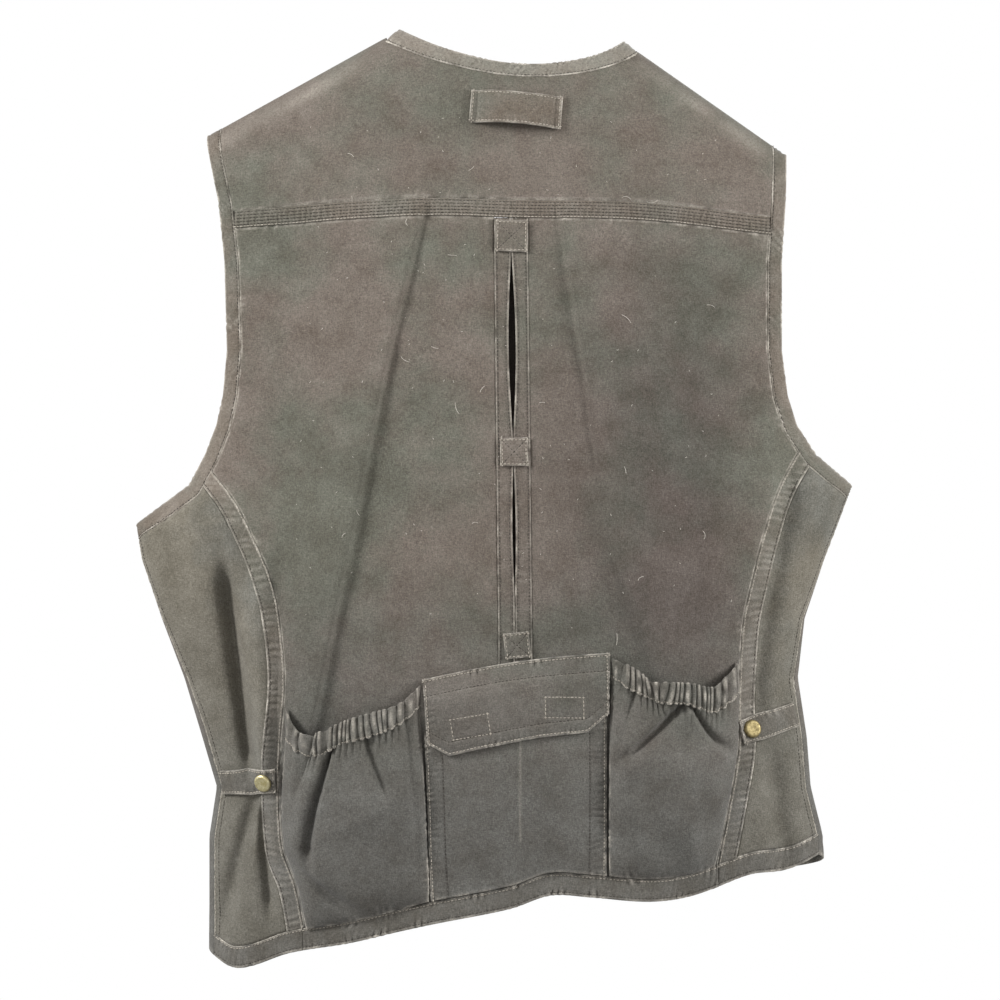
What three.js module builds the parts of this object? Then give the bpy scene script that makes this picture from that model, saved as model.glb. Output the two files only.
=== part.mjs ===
import * as THREE from 'three';
import { mergeVertices } from 'three/addons/utils/BufferGeometryUtils.js';

// A hung utility work vest, seen from behind along +Y: X across, Y through, Z up, in millimetres.
// The origin lies at the height of the neck points. The back is at -Y and the fronts are at +Y.

// Driving dimensions
const chestHalf = 290; // half the flat width that the shares across refer to
const fullLength = 750; // neck point to the lowest hem corner, which the shares down refer to
const chestDepth = 70; // bulge of the back or the front from the side line
const shoulderRound = 22; // how far below the fold the cloth has turned over the shoulder
const canvas = 1.6; // thickness of a canvas panel
const banding = 2.2; // thickness of a folded band
const seamGap = 0.5; // space between two panels that meet
const layGap = 0.8; // space between a panel and what lies on it
const neckDip = 25; // how far the back neck dips below its two corners
const neckBandWidth = 9.5;
const neckSeam = 2; // space beside the neck facing, where the cloth turns sharply
const armBandWidth = 11.5;
const yokeBandHeight = 14;
const hemHeight = 17.5;
const seamBandWidth = 14;
const frontYoke = 62; // how far the yoke reaches down the fronts
const foldHeight = 9; // height that the shares of the creases refer to
const ventFacing = 13.5; // width of one facing strip beside the vent
const ventGape = 5.6; // width of the open vent at its widest
const underlayDrop = 5; // the underlay lies this far inside the back
const tackSize = 24;
const tackThick = 1.2;
const loopLength = 73;
const loopWidth = 26;
const loopThick = 1.6;
const loopBulge = 9; // how far the loop stands off the yoke
const pocketBulge = 17; // how far an elastic pocket stands off the back
const pocketRest = 0.4; // more room under the edges of an elastic pocket, which its gathers lift
const cuffThick = 1.6;
const gatherDepth = 1.6; // height of the gathers in a cuff
const gatherCount = 17;
const centerBulge = 5; // how far the middle pocket stands off
const flapThick = 1.8;
const tabWidth = 20;
const tabThick = 1.8;
const capRadius = 7.4; // a line 24 snap cap
const capHeight = 3;
const capSeat = 0.6; // space between a cap and its tab
const placketWidth = 38;
const flapChamfer = 17; // size of the cut corners at the foot of the flap
const capInset = 10; // from the free end of a tab to the middle of its cap
const pocketInset = 3; // from a curved seam to the border of an elastic pocket
const underlayStart = 3; // the underlay starts this far above the open vent

// Shapes of curves, as powers: 1 is straight or even, and more is fuller or turns later
const sectionPower = 2.4; // how square a level section is
const armPower = 1.35; // how soon the armhole turns under the arm
const neckSkew = 1.15; // how far the lowest point of the neck lies to the right
const neckPower = 0.8; // how round the neck is
const veePower = 1.2; // how hollow the V neck of the fronts is
const loopPower = 0.6; // how flat the middle of the loop is
const mouthPower = 0.6; // how round the mouth of an elastic pocket is
const centerPower = 0.5; // how full the middle pocket is

// Each row is a level section: its two half widths, its depths and the half gap at the armhole edges
const sections = [
  { down: 0.0, left: 0.85, right: 0.757, back: 0.5, front: 0.5,
    edgeLeft: 0.1, edgeRight: 0.1, round: 0.9 },
  { down: 0.115, left: 0.855, right: 0.761, back: 0.6, front: 0.58,
    edgeLeft: 0.25, edgeRight: 0.25, round: 0.9 },
  { down: 0.179, left: 0.819, right: 0.753, back: 0.72, front: 0.7,
    edgeLeft: 0.36, edgeRight: 0.36, round: 0.9 },
  { down: 0.243, left: 0.8, right: 0.74, back: 0.82, front: 0.8,
    edgeLeft: 0.42, edgeRight: 0.42, round: 0.85 },
  { down: 0.339, left: 0.792, right: 0.739, back: 0.92, front: 0.9,
    edgeLeft: 0.44, edgeRight: 0.42, round: 0.8 },
  { down: 0.387, left: 0.803, right: 0.756, back: 0.96, front: 0.94,
    edgeLeft: 0.4, edgeRight: 0.34, round: 0.75 },
  { down: 0.419, left: 0.822, right: 0.783, back: 0.98, front: 0.96,
    edgeLeft: 0.34, edgeRight: 0.25, round: 0.7 },
  { down: 0.451, left: 0.855, right: 0.839, back: 1.0, front: 0.98,
    edgeLeft: 0.26, edgeRight: 0.12, round: 0.66 },
  { down: 0.484, left: 0.902, right: 0.942, back: 1.0, front: 1.0,
    edgeLeft: 0.16, edgeRight: 0.0, round: 0.63 },
  { down: 0.526, left: 1.052, right: 0.902, back: 1.0, front: 1.0,
    edgeLeft: 0.0, edgeRight: 0.0, round: 0.6 },
  { down: 0.563, left: 1.037, right: 0.866, back: 1.0, front: 1.0,
    edgeLeft: 0.0, edgeRight: 0.0, round: 0.6 },
  { down: 0.627, left: 0.982, right: 0.811, back: 1.0, front: 1.0,
    edgeLeft: 0.0, edgeRight: 0.0, round: 0.6 },
  { down: 0.691, left: 0.919, right: 0.792, back: 0.98, front: 0.98,
    edgeLeft: 0.0, edgeRight: 0.0, round: 0.6 },
  { down: 0.755, left: 0.869, right: 0.817, back: 0.96, front: 0.96,
    edgeLeft: 0.0, edgeRight: 0.0, round: 0.6 },
  { down: 0.809, left: 0.828, right: 0.828, back: 0.95, front: 0.95,
    edgeLeft: 0.0, edgeRight: 0.0, round: 0.6 },
  { down: 0.862, left: 0.849, right: 0.862, back: 0.97, front: 0.95,
    edgeLeft: 0.0, edgeRight: 0.0, round: 0.6 },
  { down: 1.0, left: 0.849, right: 0.87, back: 1.0, front: 0.95,
    edgeLeft: 0.0, edgeRight: 0.0, round: 0.6 },
];
const underarm = { left: 0.526, right: 0.484 }; // share down of each underarm point
const neckPoints = [{ across: -0.32, down: -0.0075 }, { across: 0.306, down: 0.005 }];
const shoulderEnds = [{ across: -0.855, down: 0.107 }, { across: 0.761, down: 0.128 }];

// Lines across the back, each given by how far down it lies at a share across
const yokeLine = [
  { across: -0.8, down: 0.2091 }, { across: -0.257, down: 0.1973 }, { across: 0.014, down: 0.1995 },
  { across: 0.342, down: 0.2016 }, { across: 0.742, down: 0.2165 },
];
const hemLine = [
  { across: -0.852, down: 0.985 }, { across: -0.783, down: 0.9995 }, { across: -0.728, down: 0.997 },
  { across: -0.618, down: 0.981 }, { across: -0.452, down: 0.9685 }, { across: -0.232, down: 0.948 },
  { across: -0.011, down: 0.931 }, { across: 0.099, down: 0.917 }, { across: 0.21, down: 0.919 },
  { across: 0.375, down: 0.924 }, { across: 0.486, down: 0.919 }, { across: 0.651, down: 0.898 },
  { across: 0.761, down: 0.894 }, { across: 0.872, down: 0.877 },
];
// The curved seams between the back and the side panels, by how far across they lie at a share down
const seamLines = {
  left: [
    { down: 0.45, across: -0.876 }, { down: 0.499, across: -0.772 }, { down: 0.543, across: -0.712 },
    { down: 0.579, across: -0.673 }, { down: 0.621, across: -0.646 }, { down: 0.691, across: -0.629 },
    { down: 0.777, across: -0.646 }, { down: 0.866, across: -0.64 }, { down: 0.912, across: -0.599 },
    { down: 0.976, across: -0.568 },
  ],
  right: [
    { down: 0.44, across: 0.8 }, { down: 0.486, across: 0.731 }, { down: 0.539, across: 0.684 },
    { down: 0.59, across: 0.651 }, { down: 0.631, across: 0.629 }, { down: 0.713, across: 0.618 },
    { down: 0.763, across: 0.618 }, { down: 0.832, across: 0.588 }, { down: 0.892, across: 0.557 },
    { down: 0.914, across: 0.554 },
  ],
};
// Creases of the hung back: a line, its half width in shares across and its height in shares of foldHeight
const creases = [
  { fromAcross: -0.28, fromDown: 0.23, toAcross: -0.41, toDown: 0.455, half: 0.05, height: 1.0 },
  { fromAcross: -0.41, fromDown: 0.455, toAcross: -0.55, toDown: 0.72, half: 0.06, height: 1.0 },
  { fromAcross: 0.157, fromDown: 0.25, toAcross: 0.254, toDown: 0.528, half: 0.05, height: 0.9 },
  { fromAcross: 0.254, fromDown: 0.528, toAcross: 0.375, toDown: 0.655, half: 0.06, height: 0.8 },
  { fromAcross: 0.62, fromDown: 0.25, toAcross: 0.5, toDown: 0.5, half: 0.09, height: -0.6 },
  { fromAcross: 0.35, fromDown: 0.05, toAcross: 0.62, toDown: 0.17, half: 0.07, height: -0.45 },
  { fromAcross: -0.6, fromDown: 0.25, toAcross: -0.62, toDown: 0.4, half: 0.1, height: -0.5 },
];
// Gathers that the adjuster tabs draw in the side panels
const sideGathers = [
  { fromAcross: -0.79, fromDown: 0.62, toAcross: -0.77, toDown: 0.755, half: 0.035, height: -0.8 },
  { fromAcross: -0.72, fromDown: 0.68, toAcross: -0.72, toDown: 0.755, half: 0.035, height: 0.5 },
  { fromAcross: -0.77, fromDown: 0.855, toAcross: -0.77, toDown: 0.95, half: 0.035, height: -0.7 },
  { fromAcross: -0.71, fromDown: 0.855, toAcross: -0.7, toDown: 0.94, half: 0.035, height: 0.5 },
  { fromAcross: 0.7, fromDown: 0.56, toAcross: 0.71, toDown: 0.68, half: 0.035, height: -0.7 },
  { fromAcross: 0.72, fromDown: 0.8, toAcross: 0.74, toDown: 0.86, half: 0.035, height: -0.7 },
];

const lerp = (a, b, share) => a + (b - a) * share;
const clamp = (value, low, high) => Math.min(high, Math.max(low, value));

// Smooth value of one column of a table along another
function along(rows, key, column, place) {
  let i = 0;
  while (i < rows.length - 2 && place > rows[i + 1][key]) i += 1;
  const [a, b] = [rows[i], rows[i + 1]];
  const [before, after] = [rows[Math.max(0, i - 1)], rows[Math.min(rows.length - 1, i + 2)]];
  const span = b[key] - a[key];
  const share = (place - a[key]) / span;
  if (share < 0 || share > 1) return lerp(a[column], b[column], share);
  const slopeA = (b[column] - before[column]) / (b[key] - before[key]) * span;
  const slopeB = (after[column] - a[column]) / (after[key] - a[key]) * span;
  const s2 = share * share;
  const s3 = s2 * share;
  return a[column] * (2 * s3 - 3 * s2 + 1) + b[column] * (3 * s2 - 2 * s3)
    + slopeA * (s3 - 2 * s2 + share) + slopeB * (s3 - s2);
}

// One column of the sections at a height, straight between its rows
function sectionAt(column, z) {
  const down = clamp(-z / fullLength, 0, 1);
  let i = 0;
  while (i < sections.length - 2 && down > sections[i + 1].down) i += 1;
  const [a, b] = [sections[i], sections[i + 1]];
  return lerp(a[column], b[column], (down - a.down) / (b.down - a.down));
}

const sideWidth = (side, z) => sectionAt(side < 0 ? 'left' : 'right', z) * chestHalf;

// Height of the shoulder fold at a place across
function shoulderLine(x) {
  const across = x / chestHalf;
  const side = across < (neckPoints[0].across + neckPoints[1].across) / 2 ? 0 : 1;
  const [neck, end] = [neckPoints[side], shoulderEnds[side]];
  const out = side === 0 ? across < neck.across : across > neck.across;
  if (!out) {
    const share = (across - neckPoints[0].across) / (neckPoints[1].across - neckPoints[0].across);
    return -lerp(neckPoints[0].down, neckPoints[1].down, share) * fullLength;
  }
  return -lerp(neck.down, end.down, (across - neck.across) / (end.across - neck.across)) * fullLength;
}

// Height that a table of folds adds at a place of the back
function folds(rows, x, z) {
  let sum = 0;
  for (const row of rows) {
    const from = [row.fromAcross * chestHalf, -row.fromDown * fullLength];
    const to = [row.toAcross * chestHalf, -row.toDown * fullLength];
    const run = [to[0] - from[0], to[1] - from[1]];
    const length = Math.hypot(...run);
    const share = ((x - from[0]) * run[0] + (z - from[1]) * run[1]) / (length * length);
    const off = ((x - from[0]) * run[1] - (z - from[1]) * run[0]) / length;
    const half = row.half * chestHalf;
    const past = Math.max(0, -share, share - 1) * length;
    sum += row.height * foldHeight * Math.exp(-(off * off + past * past) / (half * half));
  }
  return sum;
}

// A point of the torso by its angle from the right side line, through the back, and its height
function torso(angle, z, front = Math.sin(angle) < -1e-9) {
  const s = Math.cos(angle);
  const side = s < 0 ? -1 : 1;
  const x = s * sideWidth(side, z);
  const edge = sectionAt(side < 0 ? 'edgeLeft' : 'edgeRight', z) * chestDepth;
  const full = sectionAt(front ? 'front' : 'back', z) * chestDepth;
  const bulge = Math.max(0, 1 - Math.abs(s) ** sectionPower) ** sectionAt('round', z);
  const below = Math.max(0, shoulderLine(x) - z);
  const turned = Math.sqrt(1 - Math.exp(-below / shoulderRound));
  const relief = front ? 0 : folds(creases, x, z) + folds(sideGathers, x, z);
  const calm = Math.min(1, below / shoulderRound) * Math.min(1, bulge * 2);
  const depth = (edge + (full - edge) * bulge) * turned + relief * calm;
  return new THREE.Vector3(x, front ? depth : -depth, z);
}

// The angle at which the back has a given place across
function angleAt(x, z) {
  return Math.acos(clamp(x / sideWidth(x, z), -1, 1));
}

// The back at a place, lifted outwards
function back(x, z, lift = 0) {
  const angle = angleAt(x, z);
  const point = torso(angle, z, false);
  if (!lift) return point;
  const step = 2;
  const right = torso(angleAt(x + step, z), z, false).sub(torso(angleAt(x - step, z), z, false));
  const up = torso(angleAt(x, z + step), z + step, false).sub(torso(angleAt(x, z - step), z - step, false));
  const out = right.cross(up).normalize();
  return point.addScaledVector(out, lift);
}

const root = new THREE.Group();
const colours = { canvas: 0x6e665f, band: 0x746c62, side: 0x6f6d65, brass: 0xb9ab84, dark: 0x4a443e };

// Puts a closed body of the given points and triangles in the scene under a name
function addBody(name, positions, triangles, colour, rough = 0.9, metal = 0) {
  const geometry = new THREE.BufferGeometry();
  geometry.setAttribute('position', new THREE.Float32BufferAttribute(positions.flat(), 3));
  geometry.setIndex(triangles);
  const material = new THREE.MeshStandardMaterial({ color: colour, roughness: rough, metalness: metal });
  const mesh = new THREE.Mesh(geometry, material);
  mesh.name = name;
  root.add(mesh);
}

// Gives a grid of middle points a thickness and closed edges; keep says which cells are cloth
function addSheet(name, grid, thick, colour, keep = () => true) {
  const rows = grid.length;
  const columns = grid[0].length;
  const normals = grid.map((row) => row.map(() => new THREE.Vector3()));
  const cells = [];
  for (let j = 0; j < rows - 1; j += 1) {
    for (let i = 0; i < columns - 1; i += 1) {
      if (!keep(i, j)) continue;
      cells.push([i, j]);
      const [a, b, c, d] = [grid[j][i], grid[j][i + 1], grid[j + 1][i + 1], grid[j + 1][i]];
      const normal = c.clone().sub(a).cross(d.clone().sub(b)).normalize();
      for (const [x, y] of [[i, j], [i + 1, j], [i + 1, j + 1], [i, j + 1]]) normals[y][x].add(normal);
    }
  }
  const numbers = new Map();
  const positions = [];
  const number = (i, j, side) => {
    const key = `${i},${j},${side}`;
    if (!numbers.has(key)) {
      numbers.set(key, positions.length);
      const normal = normals[j][i].clone().normalize();
      positions.push(grid[j][i].clone().addScaledVector(normal, side * thick / 2).toArray());
    }
    return numbers.get(key);
  };
  const triangles = [];
  const edges = new Map();
  for (const [i, j] of cells) {
    const ring = [[i, j], [i + 1, j], [i + 1, j + 1], [i, j + 1]];
    const top = ring.map(([x, y]) => number(x, y, 1));
    const low = ring.map(([x, y]) => number(x, y, -1));
    triangles.push(top[0], top[1], top[2], top[0], top[2], top[3]);
    triangles.push(low[0], low[2], low[1], low[0], low[3], low[2]);
    for (let k = 0; k < 4; k += 1) {
      const [from, to] = [ring[k], ring[(k + 1) % 4]];
      const twin = `${to},${from}`;
      if (edges.has(twin)) edges.delete(twin);
      else edges.set(`${from},${to}`, [from, to]);
    }
  }
  for (const [from, to] of edges.values()) {
    const [a, b] = [number(...from, 1), number(...to, 1)];
    const [c, d] = [number(...to, -1), number(...from, -1)];
    triangles.push(a, c, b, a, d, c);
  }
  addBody(name, positions, triangles, colour);
}

// A grid between four border lines, each a function of a share that gives an angle and a height
function patch(top, bottom, left, right, across, rows) {
  const grid = [];
  for (let j = 0; j <= rows; j += 1) {
    const v = j / rows;
    const row = [];
    for (let i = 0; i <= across; i += 1) {
      const u = i / across;
      const value = (k) => (1 - v) * top(u)[k] + v * bottom(u)[k] + (1 - u) * left(v)[k] + u * right(v)[k]
        - (1 - u) * (1 - v) * top(0)[k] - u * (1 - v) * top(1)[k]
        - (1 - u) * v * bottom(0)[k] - u * v * bottom(1)[k];
      row.push([value(0), value(1)]);
    }
    grid.push(row);
  }
  return grid;
}

const flat = ([x, z]) => [angleAt(x, z), z]; // a place in view, as an angle and a height
const onTorso = (grid) => grid.map((row) => row.map(([angle, z]) => torso(angle, z)));

// Lines that the panels share
const yokeLow = (x) => -along(yokeLine, 'across', 'down', x / chestHalf) * fullLength;
const yokeTop = (x) => yokeLow(x) + yokeBandHeight;
const hemEdge = (x) => -along(hemLine, 'across', 'down', x / chestHalf) * fullLength;
const hemTop = (x) => hemEdge(x) + hemHeight;

// Place across of a curved seam, moved outwards square to it
function seamAt(side, z, out = 0) {
  const rows = side < 0 ? seamLines.left : seamLines.right;
  const place = (height) => along(rows, 'down', 'across', -height / fullLength) * chestHalf;
  const slope = (place(z + 1) - place(z - 1)) / 2;
  return place(z) + side * out * Math.hypot(1, slope);
}

// The armhole edge and the inner line of its band, by a share from the shoulder to the underarm
function armEdge(side, share) {
  const end = shoulderEnds[side < 0 ? 0 : 1];
  const low = -(side < 0 ? underarm.left : underarm.right) * fullLength;
  const z = lerp(-end.down * fullLength, low, 1 - (1 - share) ** armPower);
  return [side * sideWidth(side, z), z];
}

function armInner(side, share, extra = 0) {
  const [x, z] = armEdge(side, share);
  const before = armEdge(side, Math.max(0, share - 0.02));
  const after = armEdge(side, Math.min(1, share + 0.02));
  const run = [after[0] - before[0], after[1] - before[1]];
  const length = Math.hypot(...run);
  const width = armBandWidth + extra;
  const inwards = [side * run[1] / length * width, -Math.abs(run[0]) / length * width];
  const corner = Math.max(0, (share - 0.9) / 0.1) ** 2;
  const last = z - width;
  const out = [side * sideWidth(side, last), last];
  const point = [x + inwards[0], z + inwards[1]];
  return [lerp(point[0], out[0], corner), lerp(point[1], out[1], corner)];
}

// Share along the armhole where its band meets a line; above is true while the band is above it
function armMeets(side, above) {
  let [low, high] = [0, 1];
  for (let i = 0; i < 40; i += 1) {
    const middle = (low + high) / 2;
    if (above(armInner(side, middle, seamGap))) low = middle;
    else high = middle;
  }
  return (low + high) / 2;
}

const sideNames = { '-1': 'left', 1: 'right' };
const halfGap = seamGap / 2;
const bandEndShare = 0.012; // share along the armhole where the front half of a band stops
const layLift = canvas / 2 + layGap; // from the middle of a panel to the underside of what lies on it
const sideTurn = 0.2; // the side seams lie this angle behind the outline
const sideGap = 0.02; // half the gap of a side seam, as an angle, where the cloth turns under the arm
const armSteps = 20;
const lowerRows = 18;
const backColumns = 8;
const placketRows = 12;

// Height at which a seam, moved outwards, reaches the top of the hem
function seamFoot(side, out = 0) {
  let [low, high] = [-fullLength * 1.1, -fullLength * 0.6];
  for (let i = 0; i < 40; i += 1) {
    const middle = (low + high) / 2;
    if (middle > hemTop(seamAt(side, middle, out))) high = middle;
    else low = middle;
  }
  return (low + high) / 2;
}

// Angle of the side seam, which runs from the underarm to the hem a little behind the outline;
// face is -1 for the edge of the side panel there, and 1 for the edge of the front
function sideSeam(side, z, face) {
  const start = armInner(side, 1)[1];
  const share = clamp((start - z) / (fullLength * 0.2), 0, 1);
  const gap = face * sideGap * (1 - share * 0.75);
  const turn = sideTurn * share - gap;
  return side < 0 ? Math.PI - turn : turn;
}

// Shares along the armhole between two places, so that a panel and the band bend at the same points
function armShares(from, to) {
  const inner = [];
  for (let k = 0; k <= armSteps; k += 1) {
    const share = k / armSteps;
    if (share > from + 0.01 && share < to - 0.01) inner.push(share);
  }
  return [from, ...inner, to];
}

const frontAngle = (side, x, z) => (side < 0 ? 2 * Math.PI - angleAt(x, z) : -angleAt(x, z));
const sideHem = (side) => hemTop(side * sideWidth(side, -fullLength * 0.95) * Math.cos(sideTurn));

// Where the armhole bands meet the other lines
const meets = {};
for (const side of [-1, 1]) {
  meets[side] = {
    yokeTop: armMeets(side, ([x, z]) => z > yokeTop(x)),
    yokeLow: armMeets(side, ([x, z]) => z > yokeLow(x)),
    seam: armMeets(side, ([x, z]) => Math.abs(x) < Math.abs(seamAt(side, z))),
    band: armMeets(side, ([x, z]) => Math.abs(x) < Math.abs(seamAt(side, z, seamBandWidth))),
    frontYoke: armMeets(side, ([x, z]) => z > shoulderLine(x) - frontYoke),
  };
}

// The neck line of the back
const neckCorners = neckPoints.map(({ across, down }) => [across * chestHalf, -down * fullLength]);
function neckLine(x) {
  const share = clamp((x - neckCorners[0][0]) / (neckCorners[1][0] - neckCorners[0][0]), 0, 1);
  const skewed = share ** neckSkew;
  const dip = neckDip * (4 * skewed * (1 - skewed)) ** neckPower;
  return lerp(neckCorners[0][1], neckCorners[1][1], share) - dip;
}

// The yoke: its back, and from the fold of each shoulder its front
const shoulderColumns = 7;
const neckColumns = 14;
const yokeColumns = 2 * shoulderColumns + neckColumns;
const yokeRows = 8;
const frontRows = 5;
const neckLow = (x) => neckLine(x) - neckBandWidth - neckSeam;
const neckReach = neckBandWidth + neckSeam;
const neckEnds = [neckCorners[0][0] - neckReach, neckCorners[1][0] + neckReach];

function yokeAcross(i, from, to) {
  if (i <= shoulderColumns) return lerp(from, neckEnds[0], i / shoulderColumns);
  if (i >= shoulderColumns + neckColumns) {
    return lerp(neckEnds[1], to, (i - shoulderColumns - neckColumns) / shoulderColumns);
  }
  return lerp(neckEnds[0], neckEnds[1], (i - shoulderColumns) / neckColumns);
}

function yokeCrest(i, x) {
  if (i <= shoulderColumns || i >= shoulderColumns + neckColumns) return shoulderLine(x);
  const share = (i - shoulderColumns) / neckColumns;
  const inside = lerp(neckCorners[0][0], neckCorners[1][0], share);
  return Math.min(shoulderLine(x), neckLow(inside));
}

function makeYoke() {
  const grid = [];
  for (let j = 0; j <= yokeRows; j += 1) {
    const rise = 1 - (1 - j / yokeRows) ** 2;
    const ends = [-1, 1].map((side) => armInner(side, lerp(meets[side].yokeTop, 0, rise), seamGap));
    const row = [];
    for (let i = 0; i <= yokeColumns; i += 1) {
      const x = yokeAcross(i, ends[0][0], ends[1][0]);
      const foot = yokeTop(x) + halfGap;
      const z = lerp(foot, yokeCrest(i, x), rise);
      row.push(torso(angleAt(x, z), z, false));
    }
    grid.push(row);
  }
  for (let j = 1; j <= frontRows; j += 1) {
    const drop = (j / frontRows) ** 2;
    const ends = [-1, 1].map((side) => armInner(side, meets[side].frontYoke * drop, seamGap));
    const row = [];
    for (let i = 0; i <= yokeColumns; i += 1) {
      const x = yokeAcross(i, ends[0][0], ends[1][0]);
      const z = shoulderLine(x) - frontYoke * drop;
      row.push(torso(angleAt(x, z), z, true));
    }
    grid.push(row);
  }
  const inNeck = (i) => i >= shoulderColumns && i < shoulderColumns + neckColumns;
  addSheet('back_yoke', grid, canvas, colours.canvas, (i, j) => j < yokeRows || !inNeck(i));
}

function makeYokeBand() {
  const top = [-1, 1].map((side) => armInner(side, meets[side].yokeTop, seamGap)[0]);
  const low = [-1, 1].map((side) => armInner(side, meets[side].yokeLow, seamGap)[0]);
  const grid = [];
  for (let j = 0; j <= 2; j += 1) {
    const row = [];
    for (let i = 0; i <= yokeColumns; i += 1) {
      const xTop = lerp(top[0], top[1], i / yokeColumns);
      const xLow = lerp(low[0], low[1], i / yokeColumns);
      const x = lerp(xTop, xLow, j / 2);
      row.push(back(x, lerp(yokeTop(x) - halfGap, yokeLow(x) + halfGap, j / 2)));
    }
    grid.push(row);
  }
  addSheet('yoke_band', grid, banding, colours.band);
}

// The facing round the back neck, which ends at the shoulder folds
function makeNeckBand() {
  const grid = [];
  for (let j = 0; j <= 2; j += 1) {
    const row = [];
    for (let i = 0; i <= neckColumns; i += 1) {
      const share = i / neckColumns;
      const inside = lerp(neckCorners[0][0], neckCorners[1][0], share);
      const outside = lerp(neckEnds[0] + 2 * neckSeam, neckEnds[1] - 2 * neckSeam, share);
      const x = lerp(inside, outside, j / 2);
      const z = Math.min(neckLine(inside) - neckBandWidth * j / 2, shoulderLine(x) - seamGap);
      row.push(back(x, z));
    }
    grid.push(row);
  }
  addSheet('neck_band', grid, banding, colours.band);
}

// The armhole facing: down the back from the shoulder, under the arm and up the front
function makeArmholeBand(side) {
  const outer = [];
  const inner = [];
  const place = (share, front) => {
    const edge = armEdge(side, share);
    const inside = armInner(side, share);
    outer.push(torso(side < 0 ? Math.PI : 0, edge[1], front));
    inner.push(torso(angleAt(inside[0], inside[1]), inside[1], front));
  };
  for (let k = 0; k <= armSteps; k += 1) place(k / armSteps, false);
  for (let k = armSteps - 1; k > 0; k -= 1) place(k / armSteps, true);
  place(bandEndShare, true);
  addSheet(`armhole_band_${sideNames[side]}`, [outer, inner], banding, colours.band);
}

// The vent: its middle line, its open half width and the strips beside it
const ventTop = -0.238 * fullLength;
const ventLow = -0.64 * fullLength;
const ventAt = (z) => lerp(-0.008, 0.003, clamp((ventTop - z) / (ventTop - ventLow), 0, 1)) * chestHalf;
function ventHalf(z) {
  const upper = clamp((ventTop - z) / (fullLength * 0.193), 0, 1);
  const lower = clamp((-0.464 * fullLength - z) / (fullLength * 0.13), 0, 1);
  return halfGap + ventGape / 2 * (Math.sin(Math.PI * upper) + 0.45 * Math.sin(Math.PI * lower));
}

function makeVentFacing(side) {
  const rows = 24;
  const grid = [];
  for (let j = 0; j <= rows; j += 1) {
    const row = [];
    for (const share of [0, 1]) {
      const z0 = yokeLow(0) - halfGap;
      const z1 = hemTop(0) + halfGap;
      const z = lerp(z0, z1, j / rows);
      const x = ventAt(z) + side * lerp(ventHalf(z), ventFacing - halfGap, share);
      row.push(back(x, clamp(z, hemTop(x) + seamGap, yokeLow(x) - seamGap)));
    }
    grid.push(row);
  }
  addSheet(`vent_facing_${sideNames[side]}`, grid, canvas, colours.canvas);
}

function makeUnderlay() {
  const grid = [];
  const rows = 12;
  for (let j = 0; j <= rows; j += 1) {
    const z = lerp(ventTop + underlayStart, ventLow, j / rows);
    const row = [];
    for (let i = 0; i <= 4; i += 1) {
      const x = ventAt(z) + lerp(-ventFacing, ventFacing, i / 4);
      row.push(back(x, z, -(canvas + layGap) - underlayDrop * Math.sin(Math.PI * i / 4)));
    }
    grid.push(row);
  }
  addSheet('vent_underlay', grid, canvas, colours.dark);
}

// One half of the back, from the vent to the armhole band and the curved seam
function makeBackPanel(side) {
  const { yokeLow: start, seam } = meets[side];
  const outer = armShares(start, seam).slice(0, -1).map((share) => armInner(side, share, seamGap));
  const seamStart = armInner(side, seam, seamGap)[1];
  const foot = seamFoot(side, -halfGap);
  for (let k = 0; k <= lowerRows; k += 1) {
    const z = lerp(seamStart, foot, k / lowerRows);
    outer.push([seamAt(side, z, -halfGap), z]);
  }
  const innerAt = (z) => ventAt(z) + side * (ventFacing + halfGap);
  const innerTop = yokeLow(innerAt(ventTop)) - halfGap;
  const innerLow = hemTop(innerAt(-fullLength)) + halfGap;
  const outTop = outer[0];
  const outLow = outer[outer.length - 1];
  // How far the top and the bottom edge stray from a straight line
  const bows = (share) => {
    const xTop = lerp(innerAt(innerTop), outTop[0], share);
    const xLow = lerp(innerAt(innerLow), outLow[0], share);
    return [
      yokeLow(xTop) - halfGap - lerp(innerTop, outTop[1], share),
      hemTop(xLow) + halfGap - lerp(innerLow, outLow[1], share),
    ];
  };
  const ends = bows(1);
  const grid = outer.map(([xOut, zOut]) => {
    const fall = (outTop[1] - zOut) / (outTop[1] - outLow[1]);
    const zIn = lerp(innerTop, innerLow, fall);
    const row = [];
    for (let i = 0; i <= backColumns; i += 1) {
      const share = i / backColumns;
      const bow = bows(share).map((value, k) => value - ends[k] * share);
      const z = lerp(zIn, zOut, share) + lerp(bow[0], bow[1], fall);
      row.push(back(lerp(innerAt(zIn), xOut, share), z));
    }
    return row;
  });
  addSheet(`back_panel_${sideNames[side]}`, grid, canvas, colours.canvas);
}

// The felled seam beside the back, and the side panel beyond it
function seamRow(side, out, k, start) {
  const z = lerp(start, seamFoot(side, out), k / lowerRows);
  return [seamAt(side, z, out), z];
}

function makeSeamBand(side) {
  const innerStart = armInner(side, meets[side].seam, 2 * seamGap)[1];
  const outerStart = armInner(side, meets[side].band, 2 * seamGap)[1];
  const grid = [];
  for (let k = 0; k <= lowerRows; k += 1) {
    const inner = seamRow(side, halfGap, k, innerStart);
    const outer = seamRow(side, seamBandWidth - halfGap, k, outerStart);
    inner[1] = Math.max(inner[1], hemTop(inner[0]) + halfGap);
    outer[1] = Math.max(outer[1], hemTop(outer[0]) + halfGap);
    grid.push([back(...inner), back(...outer)]);
  }
  addSheet(`seam_band_${sideNames[side]}`, grid, banding, colours.band);
}

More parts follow.
